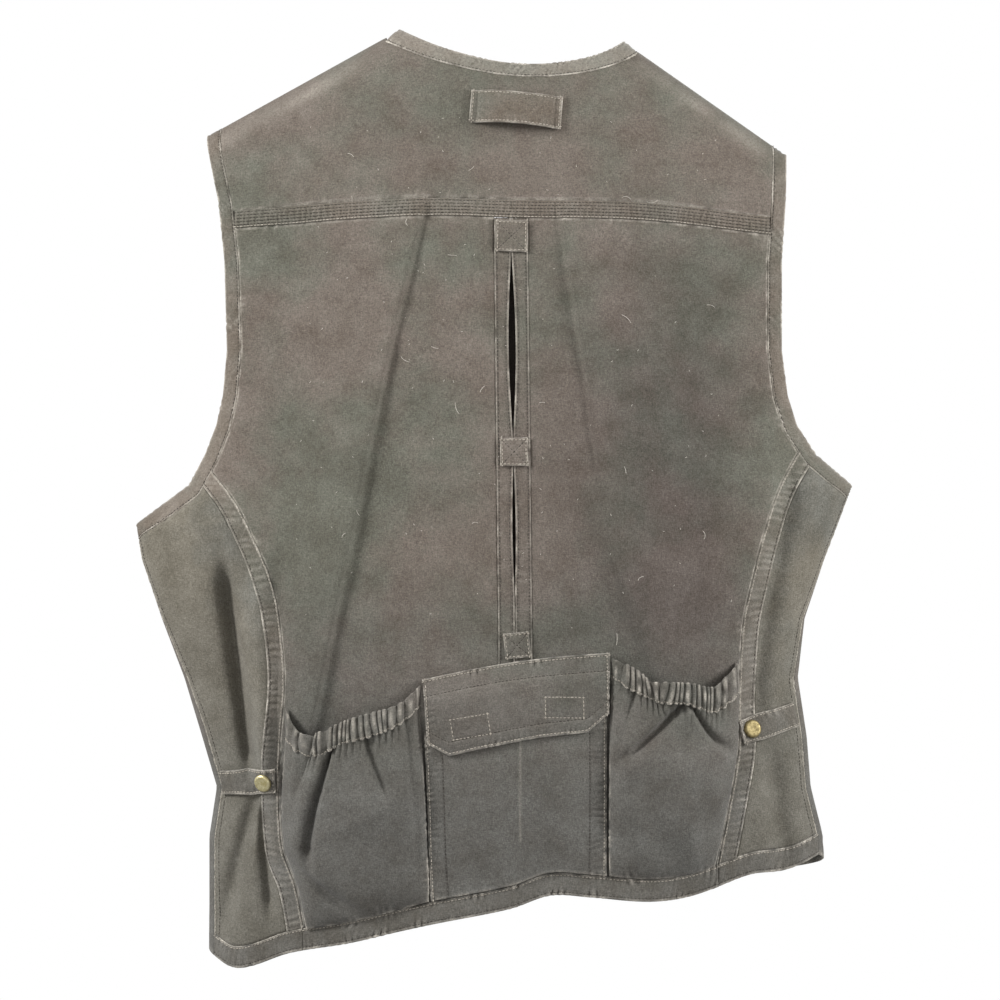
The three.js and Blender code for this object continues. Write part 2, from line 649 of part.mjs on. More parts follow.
function makeSidePanel(side) {
  const { band } = meets[side];
  const outerStart = armInner(side, band, seamGap)[1];
  const shares = armShares(band, 1);
  const columns = shares.length - 1;
  const top = (u) => {
    const place = flat(armInner(side, shares[Math.round(u * columns)], seamGap));
    return u === 1 ? [sideSeam(side, place[1], -1), place[1]] : place;
  };
  const sideFoot = sideHem(side) + halfGap;
  const inner = (v) => {
    const place = seamRow(side, seamBandWidth + halfGap, v * lowerRows, outerStart);
    return flat([place[0], v === 1 ? hemTop(place[0]) + halfGap : place[1]]);
  };
  const outer = (v) => {
    const z = lerp(top(1)[1], sideFoot, v);
    return [sideSeam(side, z, -1), z];
  };
  const bottom = (u) => {
    const angle = lerp(inner(1)[0], outer(1)[0], u);
    const x = torso(angle, sideFoot).x;
    return [angle, hemTop(x) + halfGap];
  };
  const grid = patch(top, bottom, inner, outer, columns, lowerRows);
  addSheet(`side_panel_${sideNames[side]}`, onTorso(grid), canvas, colours.side);
}

// The hem of the back, between the curved seams, and of each side panel
function makeHems() {
  const height = (x, j) => (j ? hemEdge(x) : hemTop(x) - halfGap);
  const ends = [-1, 1].map((side) => seamAt(side, seamFoot(side)) - side * halfGap);
  const places = [];
  for (let i = 0; i <= backColumns; i += 1) places.push(lerp(ends[0], -ventFacing, i / backColumns));
  places.push(0);
  for (let i = 0; i <= backColumns; i += 1) places.push(lerp(ventFacing, ends[1], i / backColumns));
  addSheet('hem_back', [0, 1].map((j) => places.map((x) => back(x, height(x, j)))), banding, colours.band);
  for (const side of [-1, 1]) {
    const start = seamAt(side, seamFoot(side)) + side * halfGap;
    const bandEnd = seamAt(side, seamFoot(side, seamBandWidth), seamBandWidth);
    const columns = armShares(meets[side].band, 1).length - 1;
    const grid = [0, 1].map((j) => {
      const level = j ? hemEdge(bandEnd) : hemTop(bandEnd);
      const row = [back(start, height(start, j))];
      for (let i = 0; i <= columns; i += 1) {
        const angle = lerp(angleAt(bandEnd, level), sideSeam(side, level, -1), i / columns);
        row.push(torso(angle, height(torso(angle, level).x, j), false));
      }
      return row;
    });
    addSheet(`hem_side_${sideNames[side]}`, grid, banding, colours.band);
  }
}

// The plain fronts: from the side seam and the armhole to the placket, with an open V neck
const neckFoot = -0.25 * fullLength;
const frontFoot = -0.93 * fullLength;
function frontNeck(side, z) {
  const corner = neckEnds[side < 0 ? 0 : 1];
  const start = shoulderLine(corner) - frontYoke;
  const share = clamp((start - z) / (start - neckFoot), 0, 1);
  return side * lerp(Math.abs(corner), placketWidth / 2 + seamGap, share ** veePower);
}

function makeFront(side) {
  const columns = 5;
  const outer = armShares(meets[side].frontYoke, 1).slice(0, -1).map((share) => {
    const [x, z] = armInner(side, share, seamGap);
    return [frontAngle(side, x, z), z];
  });
  outer[0][1] -= seamGap;
  const turnZ = armInner(side, 1, seamGap)[1];
  const foot = sideHem(side) - hemHeight;
  const levels = [];
  for (let k = 0; k <= lowerRows; k += 1) levels.push(lerp(turnZ, sideHem(side), k / lowerRows));
  for (const z of [...levels, foot]) outer.push([sideSeam(side, z, 1), z]);
  const innerTop = shoulderLine(neckEnds[side < 0 ? 0 : 1]) - frontYoke - seamGap;
  const inAngle = (z) => frontAngle(side, frontNeck(side, z), z);
  // How far the top edge strays from a straight line, because it follows the yoke
  const bow = (share) => {
    const level = lerp(innerTop, outer[0][1], share);
    const { x } = torso(lerp(inAngle(innerTop), outer[0][0], share), level);
    return shoulderLine(x) - frontYoke - seamGap - level;
  };
  const grid = outer.map(([angle, zOut]) => {
    const fall = (outer[0][1] - zOut) / (outer[0][1] - foot);
    const zIn = lerp(innerTop, frontFoot, fall);
    const row = [];
    for (let i = 0; i <= columns; i += 1) {
      const share = i / columns;
      const rise = (bow(share) - bow(1) * share) * (1 - fall);
      row.push(torso(lerp(inAngle(zIn), angle, share), lerp(zIn, zOut, share) + rise));
    }
    return row;
  });
  addSheet(`front_panel_${sideNames[side]}`, grid, canvas, colours.canvas);
}

function makePlacket() {
  const grid = [];
  for (let j = 0; j <= placketRows; j += 1) {
    const z = lerp(neckFoot, frontFoot, j / placketRows);
    const row = [];
    for (let i = 0; i <= 2; i += 1) {
      const x = lerp(-placketWidth / 2, placketWidth / 2, i / 2);
      row.push(torso(frontAngle(x < 0 ? -1 : 1, x, z), z, true));
    }
    grid.push(row);
  }
  addSheet('front_placket', grid, banding, colours.band);
}

// A grid of the back between two borders across and two down, each lifted by a function
function laid(rows, columns, place) {
  const grid = [];
  for (let j = 0; j <= rows; j += 1) {
    const row = [];
    for (let i = 0; i <= columns; i += 1) {
      const [x, z, lift] = place(i / columns, j / rows);
      row.push(back(x, z, lift));
    }
    grid.push(row);
  }
  return grid;
}

const arch = (share, power) => Math.sin(Math.PI * clamp(share, 0, 1)) ** power;

// The square tacks that close the vent
const tacks = [
  { name: 'top', across: -0.007, down: 0.2195, turn: 0.03, size: 1.05 },
  { name: 'middle', across: 0.0, down: 0.4485, turn: -0.02, size: 0.92 },
  { name: 'bottom', across: 0.008, down: 0.6525, turn: -0.1, size: 0.84 },
];
function makeTack({ name, across, down, turn, size }) {
  const grid = laid(3, 3, (u, v) => {
    const [a, b] = [(u - 0.5) * tackSize * size, (0.5 - v) * tackSize * size];
    const x = across * chestHalf + a * Math.cos(turn) + b * Math.sin(turn);
    const z = -down * fullLength + b * Math.cos(turn) - a * Math.sin(turn);
    return [x, z, layLift + tackThick / 2];
  });
  addSheet(`cross_tack_${name}`, grid, tackThick, colours.band);
}

// The utility loop on the yoke: stitched down at both ends and open behind its middle
const loopPlace = { across: 0.0055, down: 0.0832, turn: 0.077 };
function makeLoop() {
  const grid = laid(3, 12, (u, v) => {
    const [a, b] = [(u - 0.5) * loopLength, (0.5 - v) * loopWidth];
    const x = loopPlace.across * chestHalf + a * Math.cos(loopPlace.turn) + b * Math.sin(loopPlace.turn);
    const z = -loopPlace.down * fullLength + b * Math.cos(loopPlace.turn) - a * Math.sin(loopPlace.turn);
    return [x, z, layLift + loopThick / 2 + loopBulge * arch((u - 0.08) / 0.84, loopPower)];
  });
  addSheet('back_loop', grid, loopThick, colours.band);
}

// The middle pocket and its flap; the lift is what the pocket stands off at any place
const centerSides = { left: -0.246, leftFoot: -0.226, right: 0.251, mouth: 0.722 };
function centerLift(x, z) {
  const share = (x / chestHalf - centerSides.left) / (centerSides.right - centerSides.left);
  const down = -z / fullLength;
  const rise = clamp((down - 0.665) / 0.05, 0, 1);
  const fall = clamp((0.9 - down) / 0.12, 0, 1);
  const swell = arch(lerp(0.02, 0.98, share), centerPower);
  return centerBulge * swell * Math.sin(rise * Math.PI / 2) * Math.sin(fall * Math.PI / 2);
}

function makeCenterPocket() {
  const grid = laid(8, 8, (u, v) => {
    const left = lerp(centerSides.left, centerSides.leftFoot, v) * chestHalf;
    const x = lerp(left, centerSides.right * chestHalf, u);
    const z = lerp(-centerSides.mouth * fullLength, hemTop(x) + 2 * seamGap, v);
    return [x, z, layLift + canvas / 2 + centerLift(x, z)];
  });
  addSheet('center_pocket', grid, canvas, colours.side);
}

const flapTop = [
  { across: -0.251, down: 0.689 }, { across: -0.083, down: 0.6755 }, { across: 0.094, down: 0.6655 },
  { across: 0.259, down: 0.6608 },
];
const flapLow = [
  { across: -0.234, down: 0.7735 }, { across: 0.0, down: 0.754 }, { across: 0.2565, down: 0.7413 },
];
function makeFlap() {
  const ends = { top: [-0.251, 0.259], low: [-0.234, 0.2565] };
  const grid = laid(6, 12, (u, v) => {
    const across = lerp(lerp(ends.top[0], ends.low[0], v), lerp(ends.top[1], ends.low[1], v), u);
    const x = across * chestHalf;
    const side = Math.min(x - ends.low[0] * chestHalf, ends.low[1] * chestHalf - x);
    const cut = Math.max(0, flapChamfer - Math.max(0, side)) * 0.75;
    const low = -along(flapLow, 'across', 'down', across) * fullLength + cut;
    const z = lerp(-along(flapTop, 'across', 'down', across) * fullLength, low, v);
    const stack = canvas + layGap;
    return [x, z, layLift + flapThick / 2 + (centerLift(x, z) + stack) * Math.min(1, v * 3)];
  });
  addSheet('pocket_flap', grid, flapThick, colours.band);
}

// The elastic mouths: each row gives how far down the cuff starts and ends at a place across
const mouths = {
  left: [
    { across: -0.622, top: 0.72, low: 0.752 }, { across: -0.577, top: 0.742, low: 0.7637 },
    { across: -0.521, top: 0.7435, low: 0.767 }, { across: -0.466, top: 0.735, low: 0.757 },
    { across: -0.394, top: 0.7253, low: 0.749 }, { across: -0.309, top: 0.7125, low: 0.7328 },
    { across: -0.258, top: 0.695, low: 0.717 },
  ],
  right: [
    { across: 0.266, top: 0.6667, low: 0.686 }, { across: 0.312, top: 0.675, low: 0.6987 },
    { across: 0.372, top: 0.686, low: 0.7083 }, { across: 0.458, top: 0.691, low: 0.713 },
    { across: 0.535, top: 0.6975, low: 0.7221 }, { across: 0.574, top: 0.684, low: 0.7147 },
    { across: 0.611, top: 0.671, low: 0.702 },
  ],
};
const mouthLift = (u) => pocketBulge * 0.8 * arch(u, mouthPower);
function pocketSides(side, z) {
  const inner = side < 0 ? lerp(-0.258, -0.236, clamp((-z / fullLength - 0.71) / 0.2, 0, 1)) : 0.266;
  const outer = seamAt(side, z, -pocketInset);
  return side < 0 ? [outer, inner * chestHalf] : [inner * chestHalf, outer];
}

function makeElasticPocket(side) {
  const name = sideNames[side];
  const rows = mouths[name];
  const place = (column, x) => -along(rows, 'across', column, x / chestHalf) * fullLength;
  const ends = [rows[0].across * chestHalf, rows[rows.length - 1].across * chestHalf];
  const rest = layLift + canvas / 2 + pocketRest;
  const body = laid(8, 12, (u, v) => {
    const xTop = lerp(ends[0], ends[1], u);
    const zTop = place('low', xTop) - seamGap;
    const foot = pocketSides(side, -fullLength * 0.9);
    const xFoot = lerp(foot[0], foot[1], u);
    const z = lerp(zTop, hemTop(xFoot) + 2 * seamGap, v);
    const sides = pocketSides(side, z);
    const x = lerp(lerp(sides[0], sides[1], u), xTop, (1 - v) ** 4);
    const full = pocketBulge * (1 - Math.abs(2 * u - 1) ** 4) ** 0.7 * (1 - v ** 4) ** 0.8;
    return [x, z, rest + lerp(mouthLift(u), full, Math.min(1, v * 3))];
  });
  addSheet(`elastic_pocket_${name}`, body, canvas, colours.side);
  const cuff = laid(1, gatherCount * 3, (u, v) => {
    const x = lerp(ends[0], ends[1], u);
    const wave = gatherDepth * (0.5 + 0.5 * Math.sin(2 * Math.PI * gatherCount * u)) * arch(u, 0.3);
    const z = lerp(place('top', x), place('low', x) + seamGap, v);
    return [x, z, rest + mouthLift(u) + wave * (1 - 0.5 * v)];
  });
  addSheet(`elastic_cuff_${name}`, cuff, cuffThick, colours.band);
}

// The adjuster tabs: a strip from the side seam to its snap, and the brass cap
const tabs = {
  left: { fromAcross: -0.805, fromDown: 0.803, toAcross: -0.656, toDown: 0.798 },
  right: { fromAcross: 0.775, fromDown: 0.73, toAcross: 0.622, toDown: 0.748 },
};
// Profile of a cap, in shares of its radius and its height
const capShape = [
  { out: 0, up: 0 }, { out: 0.92, up: 0 }, { out: 1, up: 0.35 }, { out: 0.86, up: 0.8 }, { out: 0.5, up: 1 },
  { out: 0, up: 1 },
];
function makeTab(side) {
  const name = sideNames[side];
  const { fromAcross, fromDown, toAcross, toDown } = tabs[name];
  const from = [fromAcross * chestHalf, -fromDown * fullLength];
  const to = [toAcross * chestHalf, -toDown * fullLength];
  const length = Math.hypot(to[0] - from[0], to[1] - from[1]);
  const run = [(to[0] - from[0]) / length, (to[1] - from[1]) / length];
  const lift = banding / 2 + layGap + tabThick / 2;
  const grid = laid(2, 8, (u, v) => {
    const off = (v - 0.5) * tabWidth;
    return [lerp(from[0], to[0], u) - run[1] * off, lerp(from[1], to[1], u) + run[0] * off, lift];
  });
  addSheet(`side_tab_${name}`, grid, tabThick, colours.band);
  const at = [to[0] - run[0] * capInset, to[1] - run[1] * capInset];
  const base = back(...at, lift);
  const out = back(...at, lift + 1).sub(base).normalize();
  const sides = 20;
  const profile = capShape.map(({ out: r, up }) => new THREE.Vector2(r * capRadius, up * capHeight));
  const cap = mergeVertices(stripped(new THREE.LatheGeometry(profile, sides)));
  const turn = new THREE.Quaternion().setFromUnitVectors(new THREE.Vector3(0, 1, 0), out);
  cap.applyQuaternion(turn);
  const seat = base.addScaledVector(out, tabThick / 2 + capSeat);
  cap.translate(seat.x, seat.y, seat.z);
  const material = new THREE.MeshStandardMaterial({ color: colours.brass, roughness: 0.4, metalness: 1 });
  const mesh = new THREE.Mesh(cap, material);
  mesh.name = `snap_cap_${name}`;
  root.add(mesh);
}

// A geometry with positions alone, so that its shared points can be merged
function stripped(geometry) {
  geometry.deleteAttribute('normal');
  geometry.deleteAttribute('uv');
  return geometry;
}

makeYoke();
makeYokeBand();
makeNeckBand();
makeUnderlay();
makeHems();
makePlacket();
for (const side of [-1, 1]) {
  makeArmholeBand(side);
  makeVentFacing(side);
  makeBackPanel(side);
  makeSeamBand(side);
  makeSidePanel(side);
  makeFront(side);
  makeElasticPocket(side);
  makeTab(side);
}
tacks.forEach(makeTack);
makeLoop();
makeCenterPocket();
makeFlap();

export default root;
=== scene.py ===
import math

import bpy
import numpy as np
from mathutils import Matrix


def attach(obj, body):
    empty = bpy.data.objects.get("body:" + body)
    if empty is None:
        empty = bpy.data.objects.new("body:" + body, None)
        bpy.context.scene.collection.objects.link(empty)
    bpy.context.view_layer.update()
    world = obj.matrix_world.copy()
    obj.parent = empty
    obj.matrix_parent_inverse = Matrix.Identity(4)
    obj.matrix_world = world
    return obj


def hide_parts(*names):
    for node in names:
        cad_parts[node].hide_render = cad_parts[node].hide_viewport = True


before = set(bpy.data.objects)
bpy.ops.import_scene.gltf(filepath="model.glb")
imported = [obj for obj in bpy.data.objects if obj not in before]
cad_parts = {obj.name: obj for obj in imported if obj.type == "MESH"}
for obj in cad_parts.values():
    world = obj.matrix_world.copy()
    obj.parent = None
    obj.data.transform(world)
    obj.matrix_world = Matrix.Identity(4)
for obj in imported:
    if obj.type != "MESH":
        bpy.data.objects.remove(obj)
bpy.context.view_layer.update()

# The camera stands square to the back: 0.8 mm of cloth to a pixel of the 1000 pixel frame
view = {"mmPerPixel": 0.8, "across": -11.2, "height": -374.4, "plane": -40.0, "distance": 2900.0}


def setCamera():
    data = bpy.data.cameras.new("camera")
    data.sensor_width = 36.0
    data.lens = 36.0 * view["distance"] / (view["mmPerPixel"] * 1000.0)
    camera = bpy.data.objects.new("camera", data)
    place = (view["across"], view["plane"] - view["distance"], view["height"])
    camera.location = [value / 1000 for value in place]
    camera.rotation_euler = (math.pi / 2, 0, 0)
    bpy.context.scene.collection.objects.link(camera)
    bpy.context.scene.camera = camera


setCamera()
print("camera set")

# The hung body of the vest, in millimetres: the same sizes as the solids
body = {
    "chestHalf": 290.0, "fullLength": 750.0, "chestDepth": 70.0, "shoulderRound": 22.0,
    "canvas": 1.3, "banding": 2.0, "seam": 0.15, "foldHeight": 9.0,
    "neckDip": 25.0, "neckBand": 10.5, "armBand": 11.5, "yokeBand": 14.0, "hem": 17.5, "seamBand": 14.0,
    "frontYoke": 62.0, "placket": 38.0,
    # Shapes of curves as powers: 1 is straight or even, and more turns later
    "sectionPower": 2.4, "armPower": 1.35, "neckSkew": 1.15, "neckPower": 0.8, "veePower": 1.2,
}
chestHalf, fullLength, chestDepth = body["chestHalf"], body["fullLength"], body["chestDepth"]

sectionColumns = ("down", "left", "right", "back", "front", "edgeLeft", "edgeRight", "round")
sectionRows = np.array([
    (0.0, 0.85, 0.757, 0.5, 0.5, 0.1, 0.1, 0.9),
    (0.115, 0.855, 0.761, 0.6, 0.58, 0.25, 0.25, 0.9),
    (0.179, 0.819, 0.753, 0.72, 0.7, 0.36, 0.36, 0.9),
    (0.243, 0.8, 0.74, 0.82, 0.8, 0.42, 0.42, 0.85),
    (0.339, 0.792, 0.739, 0.92, 0.9, 0.44, 0.42, 0.8),
    (0.387, 0.803, 0.756, 0.96, 0.94, 0.4, 0.34, 0.75),
    (0.419, 0.822, 0.783, 0.98, 0.96, 0.34, 0.25, 0.7),
    (0.451, 0.855, 0.839, 1.0, 0.98, 0.26, 0.12, 0.66),
    (0.484, 0.902, 0.942, 1.0, 1.0, 0.16, 0.0, 0.63),
    (0.526, 1.052, 0.902, 1.0, 1.0, 0.0, 0.0, 0.6),
    (0.563, 1.037, 0.866, 1.0, 1.0, 0.0, 0.0, 0.6),
    (0.627, 0.982, 0.811, 1.0, 1.0, 0.0, 0.0, 0.6),
    (0.691, 0.919, 0.792, 0.98, 0.98, 0.0, 0.0, 0.6),
    (0.755, 0.869, 0.817, 0.96, 0.96, 0.0, 0.0, 0.6),
    (0.809, 0.828, 0.828, 0.95, 0.95, 0.0, 0.0, 0.6),
    (0.862, 0.849, 0.862, 0.97, 0.95, 0.0, 0.0, 0.6),
    (1.0, 0.849, 0.87, 1.0, 0.95, 0.0, 0.0, 0.6),
])
underarm = {-1: 0.526, 1: 0.484}
neckPoints = ((-0.32, -0.0075), (0.306, 0.005))
shoulderEnds = ((-0.855, 0.107), (0.761, 0.128))
# Lines across the back: share across, share down
yokeLine = np.array([(-0.8, 0.2091), (-0.257, 0.1973), (0.014, 0.1995), (0.342, 0.2016), (0.742, 0.2165)])
hemLine = np.array([
    (-0.852, 0.985), (-0.783, 0.9995), (-0.728, 0.997), (-0.618, 0.981), (-0.452, 0.9685), (-0.232, 0.948),
    (-0.011, 0.931), (0.099, 0.917), (0.21, 0.919), (0.375, 0.924), (0.486, 0.919), (0.651, 0.898),
    (0.761, 0.894), (0.872, 0.877),
])
# The curved seams: share down, share across
seamLines = {
    -1: np.array([
        (0.45, -0.876), (0.499, -0.772), (0.543, -0.712), (0.579, -0.673), (0.621, -0.646), (0.691, -0.629),
        (0.777, -0.646), (0.866, -0.64), (0.912, -0.599), (0.976, -0.568)]),
    1: np.array([
        (0.44, 0.8), (0.486, 0.731), (0.539, 0.684), (0.59, 0.651), (0.631, 0.629), (0.713, 0.618),
        (0.763, 0.618), (0.832, 0.588), (0.892, 0.557), (0.914, 0.554)]),
}
# Folds: from and to as shares across and down, width in shares across, height in shares of foldHeight,
# and lean, which makes the fall to the right (above 0) or to the left (below 0) the steep one
foldRows = (
    (-0.28, 0.23, -0.35, 0.345, 0.05, 0.55, 1.0),
    (-0.35, 0.345, -0.41, 0.455, 0.05, 0.7, 1.0),
    (-0.41, 0.455, -0.447, 0.53, 0.05, 0.7, 1.0),
    (-0.447, 0.53, -0.55, 0.72, 0.05, 0.65, 0.95),
    (0.157, 0.25, 0.21, 0.375, 0.05, 0.5, -0.9),
    (0.21, 0.375, 0.254, 0.528, 0.05, 0.5, -0.85),
    (0.254, 0.528, 0.375, 0.655, 0.06, 0.5, -0.5),
    (0.62, 0.25, 0.5, 0.5, 0.09, -0.5, 0.0),
    (0.60, 0.305, 0.67, 0.365, 0.03, -0.3, 0.0),
    (0.35, 0.05, 0.62, 0.17, 0.07, -0.3, 0.0),
    (-0.6, 0.25, -0.62, 0.4, 0.1, -0.4, 0.0),
    (-0.79, 0.60, -0.735, 0.765, 0.024, -1.5, 0.0),
    (-0.70, 0.60, -0.69, 0.76, 0.035, 0.8, 0.0),
    (-0.73, 0.84, -0.80, 0.94, 0.026, -0.95, 0.0),
    (-0.695, 0.84, -0.675, 0.92, 0.018, -0.9, 0.0),
    (0.75, 0.50, 0.66, 0.70, 0.04, -1.0, 0.0),
    (0.72, 0.80, 0.74, 0.86, 0.035, -0.7, 0.0),
)


def smooth(table, place, value=1):
    # A smooth line through the rows of a table
    place = np.asarray(place, float)
    xs, ys = table[:, 0], table[:, value]
    i = np.clip(np.searchsorted(xs, place) - 1, 0, len(xs) - 2)
    before, after = np.maximum(i - 1, 0), np.minimum(i + 2, len(xs) - 1)
    span = xs[i + 1] - xs[i]
    s = (place - xs[i]) / span
    a, b = ys[i], ys[i + 1]
    slopeA = (b - ys[before]) / (xs[i + 1] - xs[before]) * span
    slopeB = (ys[after] - a) / (xs[after] - xs[i]) * span
    curve = a * (2 * s**3 - 3 * s**2 + 1) + b * (3 * s**2 - 2 * s**3)
    curve = curve + slopeA * (s**3 - 2 * s**2 + s) + slopeB * (s**3 - s**2)
    return np.where((s < 0) | (s > 1), a + (b - a) * s, curve)


def lerp(a, b, share):
    return a + (b - a) * share


def section(column, z):
    values = sectionRows[:, sectionColumns.index(column)]
    return np.interp(-np.asarray(z) / fullLength, sectionRows[:, 0], values)


def halfWidth(x, z):
    return np.where(np.asarray(x) < 0, section("left", z), section("right", z)) * chestHalf


def shoulderLine(x):
    places = [shoulderEnds[0][0], neckPoints[0][0], neckPoints[1][0], shoulderEnds[1][0]]
    downs = [shoulderEnds[0][1], neckPoints[0][1], neckPoints[1][1], shoulderEnds[1][1]]
    return -np.interp(np.asarray(x) / chestHalf, places, downs) * fullLength


def waves(x, z, length, seed):
    # Smooth unevenness about 1 high, with a given wave length in mm
    count = 9
    rng = np.random.default_rng(seed)
    total = np.zeros(np.broadcast(x, z).shape)
    for _ in range(count):
        angle = rng.uniform(0, math.tau)
        size = math.tau / (length * rng.uniform(0.7, 1.5))
        along = x * size * math.cos(angle) + z * size * math.sin(angle)
        total += np.sin(along + rng.uniform(0, math.tau))
    return total / math.sqrt(count)


def folds(x, z):
    ridge = np.zeros(np.broadcast(x, z).shape)
    valley = np.zeros_like(ridge)
    for fromX, fromZ, toX, toZ, half, height, lean in foldRows:
        a = np.array([fromX * chestHalf, -fromZ * fullLength])
        run = np.array([toX * chestHalf, -toZ * fullLength]) - a
        length = np.hypot(*run)
        share = ((x - a[0]) * run[0] + (z - a[1]) * run[1]) / length**2
        off = -((x - a[0]) * run[1] - (z - a[1]) * run[0]) / length  # above 0 on the right of the fold
        past = np.maximum(0, np.maximum(-share, share - 1)) * length
        width = half * chestHalf * np.where(off * lean > 0, 1 - 0.82 * abs(lean), 1 + 0.8 * abs(lean))
        tall = height * body["foldHeight"] * np.exp(-(off / width)**2 - (past / (3 * half * chestHalf))**2)
        ridge, valley = np.maximum(ridge, tall), np.minimum(valley, tall)
    return ridge + valley


def torso(angle, z, front=False):
    # Points of the hung body by angle from the right side line, through the back
    s = np.cos(angle)
    x = s * halfWidth(s, z)
    edge = np.where(s < 0, section("edgeLeft", z), section("edgeRight", z)) * chestDepth
    full = np.where(front, section("front", z), section("back", z)) * chestDepth
    bulge = np.maximum(0, 1 - np.abs(s)**body["sectionPower"])**section("round", z)
    below = np.maximum(0, shoulderLine(x) - z)
    turnedIn = np.sqrt(1 - np.exp(-below / body["shoulderRound"]))
    creases = folds(x, z) + waves(x, z, 90, 3) * 0.9 + waves(x, z, 38, 4) * 0.3
    relief = np.where(front, waves(x, z, 120, 5) * 1.5, creases)
    calm = np.minimum(1, below / body["shoulderRound"]) * np.minimum(1, bulge * 2)
    depth = (edge + (full - edge) * bulge) * turnedIn + relief * calm
    return np.stack(np.broadcast_arrays(x, np.where(front, depth, -depth), z), -1)


def angleAt(x, z):
    return np.arccos(np.clip(x / halfWidth(x, z), -1, 1))


def back(x, z, lift=0.0):
    x, z = np.broadcast_arrays(np.asarray(x, float), np.asarray(z, float))
    points = torso(angleAt(x, z), z)
    step = 2.0
    across = torso(angleAt(x + step, z), z) - torso(angleAt(x - step, z), z)
    up = torso(angleAt(x, z + step), z + step) - torso(angleAt(x, z - step), z - step)
    out = np.cross(across, up)
    out /= np.linalg.norm(out, axis=-1, keepdims=True)
    return points + out * np.asarray(lift)[..., None]


def yokeLow(x):
    return -smooth(yokeLine, np.asarray(x) / chestHalf) * fullLength


def yokeTop(x):
    return yokeLow(x) + body["yokeBand"]


def hemEdge(x):
    return -smooth(hemLine, np.asarray(x) / chestHalf) * fullLength


def hemTop(x):
    return hemEdge(x) + body["hem"]


def seamAt(side, z, out=0.0):
    z = np.asarray(z, float)

    def place(level):
        return smooth(seamLines[side], -level / fullLength) * chestHalf

    slope = (place(z + 1) - place(z - 1)) / 2
    return place(z) + side * out * np.hypot(1, slope)


def armEdge(side, share):
    end = shoulderEnds[0 if side < 0 else 1]
    z = lerp(-end[1] * fullLength, -underarm[side] * fullLength, 1 - (1 - share)**body["armPower"])
    return np.stack([side * halfWidth(side, z), z], -1)


def armInner(side, share, extra=0.0, width=None):
    share = np.asarray(share, float)
    edge = armEdge(side, share)
    run = armEdge(side, np.minimum(1, share + 0.02)) - armEdge(side, np.maximum(0, share - 0.02))
    run /= np.linalg.norm(run, axis=-1, keepdims=True)
    width = (body["armBand"] if width is None else width) + extra
    inside = edge + np.stack([side * run[..., 1], -np.abs(run[..., 0])], -1) * width
    corner = (np.maximum(0, (share - 0.9) / 0.1)**2)[..., None]
    last = edge[..., 1] - width
    outer = np.stack([side * halfWidth(side, last), last], -1)
    return inside * (1 - corner) + outer * corner


def bisect(low, high, above):
    for _ in range(40):
        middle = (low + high) / 2
        low, high = (middle, high) if above(middle) else (low, middle)
    return (low + high) / 2


def armMeets(side, above):
    return bisect(0.0, 1.0, lambda share: above(*armInner(side, share)))


def seamFoot(side, out=0.0):
    return -bisect(0.6 * fullLength, 1.1 * fullLength, lambda down: -down > hemTop(seamAt(side, -down, out)))


meets = {}
for side in (-1, 1):
    meets[side] = {
        "yokeTop": armMeets(side, lambda x, z: z > yokeTop(x)),
        "yokeLow": armMeets(side, lambda x, z: z > yokeLow(x)),
        "seam": armMeets(side, lambda x, z: abs(x) < abs(seamAt(side, z))),
        "band": armMeets(side, lambda x, z: abs(x) < abs(seamAt(side, z, body["seamBand"]))),
        "frontYoke": armMeets(side, lambda x, z: z > shoulderLine(x) - body["frontYoke"]),
    }
print("body sizes worked out")

# Cloth pieces
cloth = {}
sideName = {-1: "left", 1: "right"}


def cellNormals(points):
    # Normals of a grid of points, from its neighbours
    alongRow = np.gradient(points, axis=1)
    downColumn = np.gradient(points, axis=0)
    normals = np.cross(alongRow, downColumn)
    normals /= np.maximum(np.linalg.norm(normals, axis=-1, keepdims=True), 1e-9)
    return normals


def arcs(points, axis):
    # Length along a grid line up to each point
    steps = np.linalg.norm(np.diff(points, axis=axis), axis=-1)
    pad = [(0, 0), (0, 0)]
    pad[axis] = (1, 0)
    return np.pad(np.cumsum(steps, axis=axis), pad)


def makeMesh(name, verts, faces, attributes=None):
    mesh = bpy.data.meshes.new(name)
    mesh.from_pydata(verts.tolist(), [], faces.tolist())
    for key, values in (attributes or {}).items():
        layer = mesh.attributes.new(key, "FLOAT", "POINT")
        layer.data.foreach_set("value", np.ascontiguousarray(values, np.float32))
    mesh.polygons.foreach_set("use_smooth", np.ones(len(mesh.polygons), bool))
    mesh.update()
    piece = bpy.data.objects.new(name, mesh)
    bpy.context.scene.collection.objects.link(piece)
    return piece


